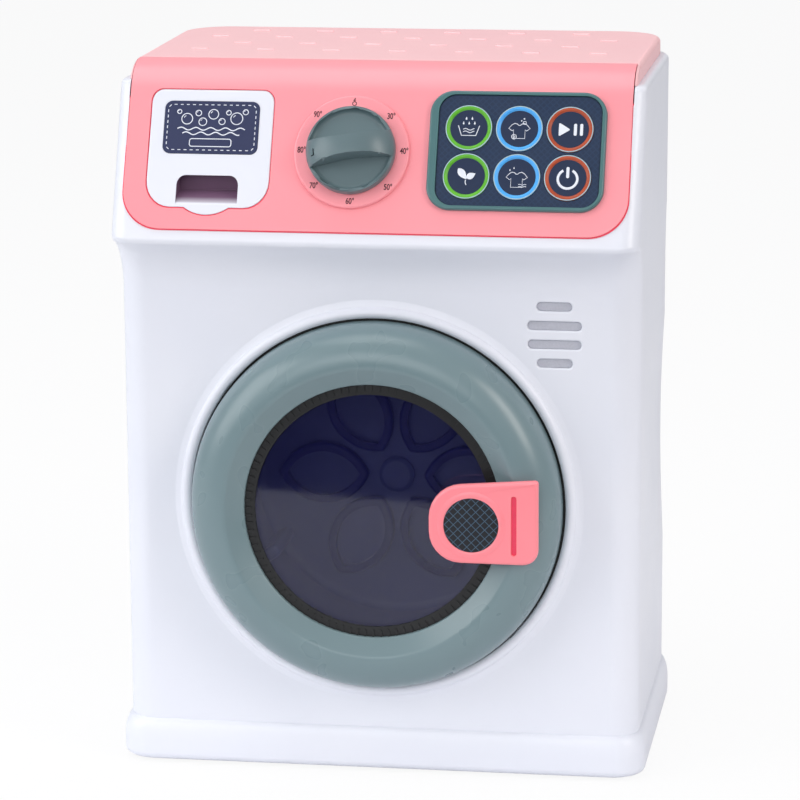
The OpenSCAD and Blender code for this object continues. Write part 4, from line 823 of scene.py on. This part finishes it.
def shirt(x, y, size):
    """Points of a T-shirt's outline."""
    side = [(0.16, 0.42), (0.34, 0.46), (0.52, 0.36), (0.74, 0.1), (0.5, -0.08), (0.4, 0.0), (0.4, -0.62)]
    points = [(-a, b) for a, b in side] + side[::-1] + [(0.08, 0.34), (0, 0.31), (-0.08, 0.34)]
    return [(x + size * a, y + size * b) for a, b in points]


def drop(x, y, size):
    """Points of a falling drop."""
    return [(x, y + size)] + [(x + 0.42 * size * sin(a), y - 0.3 * size - 0.42 * size * cos(a))
                              for a in arc(8, 110, -110)]


def leaf(x, y, long, wide, turned):
    """Points of a leaf with one pointed end."""
    a = radians(turned)
    points = [(long * (i / 10 - 0.5), wide * 0.5 * sin(pi * (i / 10) ** 0.8)) for i in range(11)]
    points += [(px, -py) for px, py in points[-2:0:-1]]
    return [(x + px * cos(a) - py * sin(a), y + px * sin(a) + py * cos(a))
            for px, py in points]


def solid(points):
    return prism(points, 0, 0.07)


def basin_sign():
    made = [stroke([(-4.0, 0.9), (-2.7, -2.9), (2.7, -2.9), (4.0, 0.9)], 0.36)]
    for y in (-0.5, -1.5):
        made.append(stroke([(-2.1 + 4.2 * i / 14, y + 0.3 * sin(i * 0.55)) for i in range(15)], 0.32))
    drops = (-1.1, 3.7), (1.1, 3.7), (-2.1, 1.9), (0, 1.9), (2.1, 1.9)
    return made + [solid(drop(x, y, 0.75)) for x, y in drops]


def rinse_sign():
    lines = ((shirt(0, -0.4, 5.4), 0.28), (ring(1.9, 2.3, 0.62, 14), 0.24), (ring(-1.9, -3.1, 0.9, 16), 0.26),
             (ring(-1.9, -3.1, 0.35, 10), 0.22))
    return [stroke(points, wide, closed=True) for points, wide in lines] + [
            solid(ring(1.7, 3.9, 0.3, 10)), solid(ring(0.7, 3.1, 0.24, 10))]


def start_sign():
    return [prism([(-4.2, -2.7), (0.2, 0), (-4.2, 2.7)], 0, 0.1, [(0, 0.7), (1, 0.7), (2, 0.7)]),
            repeat(plate(1.15, 4.6, 0.5, 0, 0.1), [spot(2.0), spot(4.3)])]


def leaves_sign():
    return [solid(leaf(-1.5, 0.9, 5.4, 2.7, -52)), solid(leaf(1.75, 0.2, 3.9, 2.5, 28)),
            stroke([(-0.2, -1.4), (-0.25, -2.4), (0.1, -3.4)], 0.36)]


def dry_sign():
    made = [stroke(shirt(0, -0.6, 5.4), 0.28, closed=True)]
    made += [solid(drop(x, y, 0.5)) for x, y in ((-2.7, 2.7), (-1.2, 3.5))]
    for y in (-2.9, -3.7):
        made.append(stroke([(0.7 + 3.0 * i / 12, y + 0.16 * sin(i * 0.8)) for i in range(13)], 0.24))
    return made


def power_sign():
    return [stroke(ring(0, -0.4, 3.65, 40, 118, 422), 0.95, 0.1),
            lay(plate(1.1, 4.3, 0.5, 0, 0.12), spot(0, 2.1))]


for (x, y), name, (tint, colour, shade), sign in zip(
        KEYS, ("wash", "rinse", "start", "eco", "dry", "power"),
        (("key_green", "#69c22f", "#4f9d22"), ("key_blue", "#55b6fa", "#3f9be6"),
         ("key_red", "#c0522c", "#9a3d1f")) * 2,
        (basin_sign, rinse_sign, start_sign, leaves_sign, dry_sign, power_sign)):
    body, place = "key_" + name, PANEL @ spot(x, y)
    cap = lathe([(0, -4.5), (2.5, -4.5), (2.5, -3.4), (8.6, -3.4), (8.8, -3.2), (8.8, 1.45), (8.65, 1.6),
                 (7.75, 1.6), (7.6, 1.55), (7.1, 1.12), (7.0, 1.1), (0, 1.1)], steps=64)
    key_abs = moulded(name + "_key_abs", colour, shade, 0.32, mottle=150.0)
    settle(cap, name + "_cap", place, key_abs, body, tint, body, smooth=28)
    disc = lathe([(0, 1.0), (7.05, 1.0), (7.05, 1.14), (6.9, 1.2), (0, 1.2)], steps=64)
    settle(disc, name + "_disc", place, key_disc, body, "sheet_blue")
    # painted highlight round the key's rim
    highlight_ring = lathe([(8.4, 1.55), (8.78, 1.5), (8.76, 1.6), (8.65, 1.64), (8.4, 1.64)], steps=64)
    settle(highlight_ring, name + "_rim", place, rim_highlight_paint, body, tint)
    settle(join(*sign()), name + "_sign", place @ spot(z=1.2), white_ink, body, "sheet_blue")

# --------------------------------------
# Door. A grey-green ABS ring with a broad round shoulder and a bevel down to
# the window, a smoke-coloured clear pane and a dark ring behind it. It hangs
# on two hidden arms at the left.
door_ring_abs = moulded("door_ring_abs", "#73888d", "#6f8489", 0.28, mottle=5.0)
MID_R, MID_Z, OUTER, INNER = 57.3, 4.8, 14.1, 12.2   # the shoulder's middle and its two radii
shoulder = [(MID_R + OUTER * sin(a), MID_Z + OUTER * cos(a)) for a in arc(16, 2, 90)]
hollow = [(MID_R + INNER * sin(a), MID_Z + INNER * cos(a)) for a in arc(8, 90, 10)]
door = lathe([(52.3, 13.0), (49.3, 13.0), (49.3, 14.4), (55.5, 18.45), (56.5, 18.85)] + shoulder
             + [(MID_R + OUTER, 1.0), (MID_R + INNER, 1.0)] + hollow
             + [(54.4, 12.5), (54.4, 9.0), (52.3, 9.0)], [(2, 0.5)], steps=160)
LATCH_X, LATCH_Y = 58.5, -1.5
cut(door, lay(plate(8.2, 12.4, 0.5, 7.8, 30), spot(LATCH_X + 0.7, LATCH_Y)))
settle(door, "door_ring_moulding", DOOR, door_ring_abs, "door", "grey_green_plastic", "door_ring", smooth=28)

# Smoke-coloured polycarbonate with a clear hard coat, and faint smears over 2 cm.
smoke, tree = blank("smoke_polycarbonate")
where = add(tree, "TexCoord").outputs["Object"]
haze = add(tree, "TexNoise", {"Vector": where, "Scale": 45.0, "Detail": 3.0})
tone = add(tree, "Mix", {0: haze, 6: linear("#14153a"), 7: linear("#1a1b42")}, data_type="RGBA")
smear = add(tree, "MapRange", {0: haze, 1: 0.35, 2: 0.7, 3: 0.03, 4: 0.09})
shader = add(tree, "BsdfPrincipled", {"Base Color": tone.outputs[2], "Roughness": smear,
                                      "IOR": 1.585, "Alpha": 0.36, "Coat Weight": 1.0, "Coat IOR": 1.5,
                                      "Coat Roughness": 0.03})
add(tree, "OutputMaterial", {0: shader})
pane = lathe([(0, 11.0), (52.1, 11.0), (52.1, 12.9), (50.0, 12.98), (30, 13.0), (0, 13.0)], steps=128)
settle(pane, "window_pane", DOOR, smoke, "door", "dark_window", "door_window", smooth=30)

# A black ring on the pane's edge, painted shade for the recess round the
# window, with fine teeth, and the black strip that the ring closes on
black_and_painted_shade_abs = moulded("black_matt_and_painted_shade", "#06080a", "#090b0e", 0.42, peel=0.000006)
border = lathe([(45.2, 12.9), (45.4, 13.3), (46.4, 13.25), (50.4, 13.05), (50.4, 12.9)], steps=128)
teeth = repeat(plate(2.6, 0.9, 0.3, 13.0, 13.6, steps=3),
               [spot(turned=3.6 * i) @ spot(48.0) for i in range(100)])
settle(join(border, teeth), "window_border_painted_shade", DOOR, black_and_painted_shade_abs, "door", "black_plastic", smooth=30)
strip = lathe([(63.6, -1.4), (72.2, -1.4), (72.2, -0.5), (71.8, -0.3), (64, -0.3), (63.6, -0.6)], steps=128)
settle(strip, "door_seat_strip", DOOR, black_and_painted_shade_abs, "case", "black_plastic", smooth=30)

# --------------------------------------
# Latch. A pink plate with pillow edges over the right side of the ring, with a
# finger groove and a dark round badge; its tail reaches through the ring.
latch_abs = moulded("latch_pink_abs", "#fb8791", "#fd8f98", 0.30, peel=0.000003)
latch = prism([(22.7, -16.8), (64.3, -17.0), (64.3, 15.9), (22.7, 12.7)], 19.4, 22.0,
              [(0, 12), (1, 6), (2, 1.4), (3, 12)], edge=1.35, foot=0.5)
BADGE_X, BADGE_Y = 38.9, -1.9
collar = lathe([(10.5, 21.5), (10.5, 22.02), (10.9, 22.25), (11.5, 22.35), (12.2, 22.28), (12.9, 22.05),
                (13.0, 21.5)], steps=72)
cut(latch, lay(lathe([(0, 21.4), (10.7, 21.4), (10.7, 30), (0, 30)], steps=72), spot(BADGE_X, BADGE_Y)))
GROOVE_X, GROOVE_Y, GROOVE_W, GROOVE_H = 55.1, -1.8, 2.0, 23.0
groove = flare(plate(GROOVE_W, GROOVE_H, 0.98, 21.1, 21.7), GROOVE_W, GROOVE_H,
               ((0.18, 0.1), (0.1, 0.2), (0.06, 0.45), (0.3, 0.6)))
cut(latch, lay(groove, spot(GROOVE_X, GROOVE_Y)))
tail = prism([(-2.5, 9.3), (2.5, 9.3), (2.5, 14.3), (2.0, 19.6), (-2.0, 19.6), (-2.5, 14.3)], -4, 4,
             edge=0.4, foot=0.4)
HOOK = -3.85             # the hook's catching face
hook = prism([(0, 11.8), (2.5, 11.8), (2.6, HOOK + 2), (3.0, HOOK), (6.7, HOOK), (5.1, HOOK - 2.6),
              (0.4, HOOK - 2.6), (0.2, 3)], -4, 4, edge=0.35, foot=0.35)
for arm in (tail, hook):
    lay(arm, spot(LATCH_X, LATCH_Y) @ UP)
latch = join(latch, lay(collar, spot(BADGE_X, BADGE_Y)), tail, hook)
settle(latch, "latch_moulding", DOOR, latch_abs, "latch", "latch_pink", "latch", smooth=32)
# Painted shade: a deeper pink laid on the finger groove's floor
groove_shade_pink = printed("painted_groove_shade", "#f5486a", 0.4)
line = plate(GROOVE_W - 0.1, GROOVE_H - 0.1, 0.93, 21.1, 21.16)
settle(line, "latch_groove_painted_shade", DOOR @ spot(GROOVE_X, GROOVE_Y), groove_shade_pink, "latch", "latch_pink")
badge_film = lattice("dark_lattice_badge", "#060b16", "#48637c", 0.0024, 0, 0.7, 0.45, 0.95)
badge = lathe([(0, 21.4), (10.4, 21.4), (10.4, 21.9), (10.2, 22.0), (0, 22.02)], steps=72)
settle(badge, "latch_badge_disc", DOOR @ spot(BADGE_X, BADGE_Y), badge_film, "latch", "badge_dark",
       "latch_badge")

# --------------------------------------
# Drum. A dark blue moulding: a cylinder with a rolled rim, three lifters, and
# six curved ribs like petals round a domed hub on its back wall. The ribs are
# a darker blue copy of the same plastic: painted shade.
drum_abs = moulded("drum_blue_grey_abs", "#6e76b4", "#676fab", 0.36)
petal_painted_shade_abs = moulded("petal_blue_painted_shade", "#282c86", "#24277c", 0.36)
DRUM_R, DRUM_IN, DRUM_BACK, DRUM_LIP = 57.5, 55.7, -50.0, -9.5
drum = lathe([(1.6, DRUM_BACK), (DRUM_R, DRUM_BACK), (DRUM_R, DRUM_LIP), (DRUM_IN, DRUM_LIP),
              (DRUM_IN, DRUM_BACK + 1.8), (1.6, DRUM_BACK + 1.8)],
             [(1, 2.5), (2, 0.8), (3, 0.8), (4, 3.5)], steps=128)
PETAL_X, PETAL_RISE, PETAL_R, PETAL_THICK = 29.0, 7.0, 19.4, 3.4
blocks = []
for inset in (0, PETAL_THICK):
    r = PETAL_R - inset
    lift = degrees(asin(PETAL_RISE / r))
    below = ring(PETAL_X, PETAL_RISE, r, 18, 180 + lift, 360 - lift)
    above = ring(PETAL_X, -PETAL_RISE, r, 18, lift, 180 - lift)
    blocks.append(prism(below + above[1:-1], -49.0 - inset, -44.6 + inset, edge=0 if inset else 1.5))
petals = repeat(cut(*blocks), [spot(turned=60 * i) for i in range(6)])
settle(petals, "drum_petals_painted_shade", DOOR, petal_painted_shade_abs, "drum", "drum_blue", smooth=32)
lifter = plate(7.4, 5, 2.0, -48.6, -16, edge=1.8)
drum = join(drum, lathe([(0, -48.4), (7, -48.4), (7, -46.4), (5.6, -45.2), (0, -44.9)], [(3, 0.6)], steps=48),
            repeat(lifter, [spot(turned=90 + 120 * i) @ spot(52.4) for i in range(3)]))
settle(drum, "drum_moulding", DOOR, drum_abs, "drum", "drum_blue", "drum", smooth=32)

# --------------------------------------
# Back and underside. A white cover with vents on six screws, a battery door
# with grip ribs on one screw, and four rubber feet.


def metal(name, colour, rough, brushed=900.0):
    """Metal with fine marks from turning or rolling, and a gloss that wanders over 3 mm."""
    material, tree = blank(name)
    where = add(tree, "TexCoord").outputs["Object"]
    drawn = add(tree, "Mapping", {0: where, 3: (0.12, 1.0, 1.0)})
    marks = add(tree, "TexNoise", {"Vector": drawn, "Scale": brushed, "Detail": 3.0})
    gloss = add(tree, "TexNoise", {"Vector": where, "Scale": 330.0, "Detail": 2.0})
    sheen = add(tree, "MapRange", {0: gloss, 1: 0.3, 2: 0.7, 3: rough - 0.06, 4: rough + 0.08})
    tint = add(tree, "Mix", {0: marks, 6: linear(colour), 7: darker(colour, 0.8)}, data_type="RGBA")
    bump = add(tree, "Bump", {"Height": marks, "Distance": 0.000006})
    shader = add(tree, "BsdfPrincipled", {"Base Color": tint.outputs[2], "Metallic": 1.0,
                                          "Roughness": sheen, "Normal": bump})
    add(tree, "OutputMaterial", {0: shader})
    return material


def screw(r, head_r, head, cross):
    """A pan head screw, its head up and its top at height zero."""
    made = lathe([(0, -12), (r * 0.5, -12), (r, -10.5), (r, -head), (head_r, -head), (head_r, -head * 0.45),
                  (head_r * 0.8, -0.1), (head_r * 0.4, 0), (0, 0)], steps=40)
    for turned in (0, 90)[:2 if cross else 1]:
        cut(made, lay(plate(2.4 * r, 0.45 * r, 0.1, -0.6, 2), spot(turned=turned)))
    return made


zinc = metal("zinc_plated_steel", "#c9ccd0", 0.34)
back_white = moulded("back_white_abs", "#e3e5ec", "#dde0e9", 0.42, peel=0.000009)
HATCH_W, HATCH_H, HATCH_Y = 67.35, 54.25, 46.0       # battery door, and height of its middle
rear = plate(REAR_W, REAR_H, 8, -2.8, -0.3, edge=0.6, foot=0.3, steps=10)
vents = repeat(plate(60, 3, 1.45, -6, 3), [spot(0, 20 + 9 * i) for i in range(7)])
cut(rear, vents, lay(plate(HATCH_W + 2 * GAP, HATCH_H + 2 * GAP, 0.8, -6, 3), spot(0, HATCH_Y - REAR_Y)))
SCREWS = [(x, y) for x in (-70.6, 70.6) for y in (-108.3, 0, 108.3)]
cut(rear, repeat(lathe([(0, -9), (1.7, -9), (1.7, -1.7), (3.2, -1.7), (3.2, 3), (0, 3)], steps=40),
                 [spot(x, y) for x, y in SCREWS]))
soften(rear, 0.3, 50)
settle(rear, "rear_panel", REAR @ spot(y=REAR_Y), back_white, "case", "white_plastic", "rear_cover",
       smooth=30)
settle(repeat(screw(1.5, 2.9, 1.2, True), [spot(x, y, -0.5) for x, y in SCREWS]),
       "rear_screw_set", REAR @ spot(y=REAR_Y), zinc, "case", "steel", "rear_screws", smooth=30)
hatch = plate(HATCH_W, HATCH_H, 0.8, -2.8, -0.3, edge=0.5, foot=0.3)
SCREW_Y = 24.6
ridges = repeat(plate(22, 1.2, 0.58, -0.5, 0.0, edge=0.25, steps=5),
                [spot(0, -14 - 2.6 * i) for i in range(4)])
cut(hatch, lay(lathe([(0, -9), (1.15, -9), (1.15, -1.4), (2.1, -1.4), (2.1, 3), (0, 3)], steps=40),
               spot(0, SCREW_Y)))
settle(join(hatch, ridges), "battery_hatch", REAR @ spot(y=HATCH_Y), back_white, "battery_door",
       "white_plastic", "battery_door", smooth=30)
settle(screw(1.0, 2.0, 1.0, False), "battery_hatch_screw", REAR @ spot(y=HATCH_Y + SCREW_Y, z=-0.4), zinc,
       "battery_door", "steel", "battery_screw", smooth=30)

rubber, tree = blank("black_rubber")
where = add(tree, "TexCoord").outputs["Object"]
dust = add(tree, "TexNoise", {"Vector": where, "Scale": 260.0, "Detail": 4.0})
grain = add(tree, "TexNoise", {"Vector": where, "Scale": 2600.0, "Detail": 2.0})
tint = add(tree, "Mix", {0: dust, 6: linear("#1d1f22"), 7: linear("#303236")}, data_type="RGBA")
bump = add(tree, "Bump", {"Height": grain, "Distance": 0.00003})
shader = add(tree, "BsdfPrincipled", {"Base Color": tint.outputs[2], "Roughness": 0.78, "IOR": 1.52,
                                      "Normal": bump})
add(tree, "OutputMaterial", {0: shader})
foot = lathe([(0, 0.35), (3.0, 0.35), (3.4, 0), (4.6, 0), (5.0, 0.35), (6.0, 0.35), (6.4, 0), (7.6, 0),
              (8, 0.4), (8, 2.0), (0, 2.0)], steps=48)
settle(repeat(foot, [spot(x, y) for x in (-78, 78) for y in (20, 106)]), "rubber_foot_set",
       Matrix(), rubber, "case", "rubber", "rubber_feet", smooth=30)

# --------------------------------------
# Inner pieces that keep their solids: drive, electronics, hinge, tub and
# battery box. Each gets the finish of its real material.
black_abs = moulded("black_abs", "#26282d", "#2d2f35", 0.42)
dark_abs = moulded("dark_grey_abs", "#717c86", "#68737d", 0.36)
tub_grey = moulded("tub_grey_pp", "#4d545c", "#454c54", 0.45)
acetal = moulded("white_acetal", "#ecebe4", "#e4e3dc", 0.4)
inner_white = moulded("inner_white_abs", "#dcdfe6", "#d4d7df", 0.5)
cone_grey = moulded("speaker_pulp_cone", "#b4b7c2", "#a9acb8", 0.75, peel=0.00002)
cell_blue = printed("battery_wrap", "#2d5fb0", 0.3)
board_green = printed("green_solder_mask", "#1f7a45", 0.35)
bronze = metal("sintered_bronze", "#b08a50", 0.45, 2400.0)
steel = metal("bright_steel", "#cdd0d4", 0.22)
for names, material in (
        ("drawer_guide", inner_white), ("dial_switch key_switches battery_box", black_abs),
        ("hinge_bracket door_back", dark_abs), ("tub", tub_grey), ("drum_gear motor_pinion", acetal),
        ("speaker", cone_grey), ("batteries", cell_blue), ("circuit_board", board_green),
        ("drum_bush", bronze),
        ("knob_shaft board_screws hinge_pin latch_pin latch_spring drum_shaft shaft_clip motor motor_plate "
         "plate_screws battery_contacts", steel)):
    for name in names.split():
        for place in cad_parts[name].material_slots:
            place.material = material
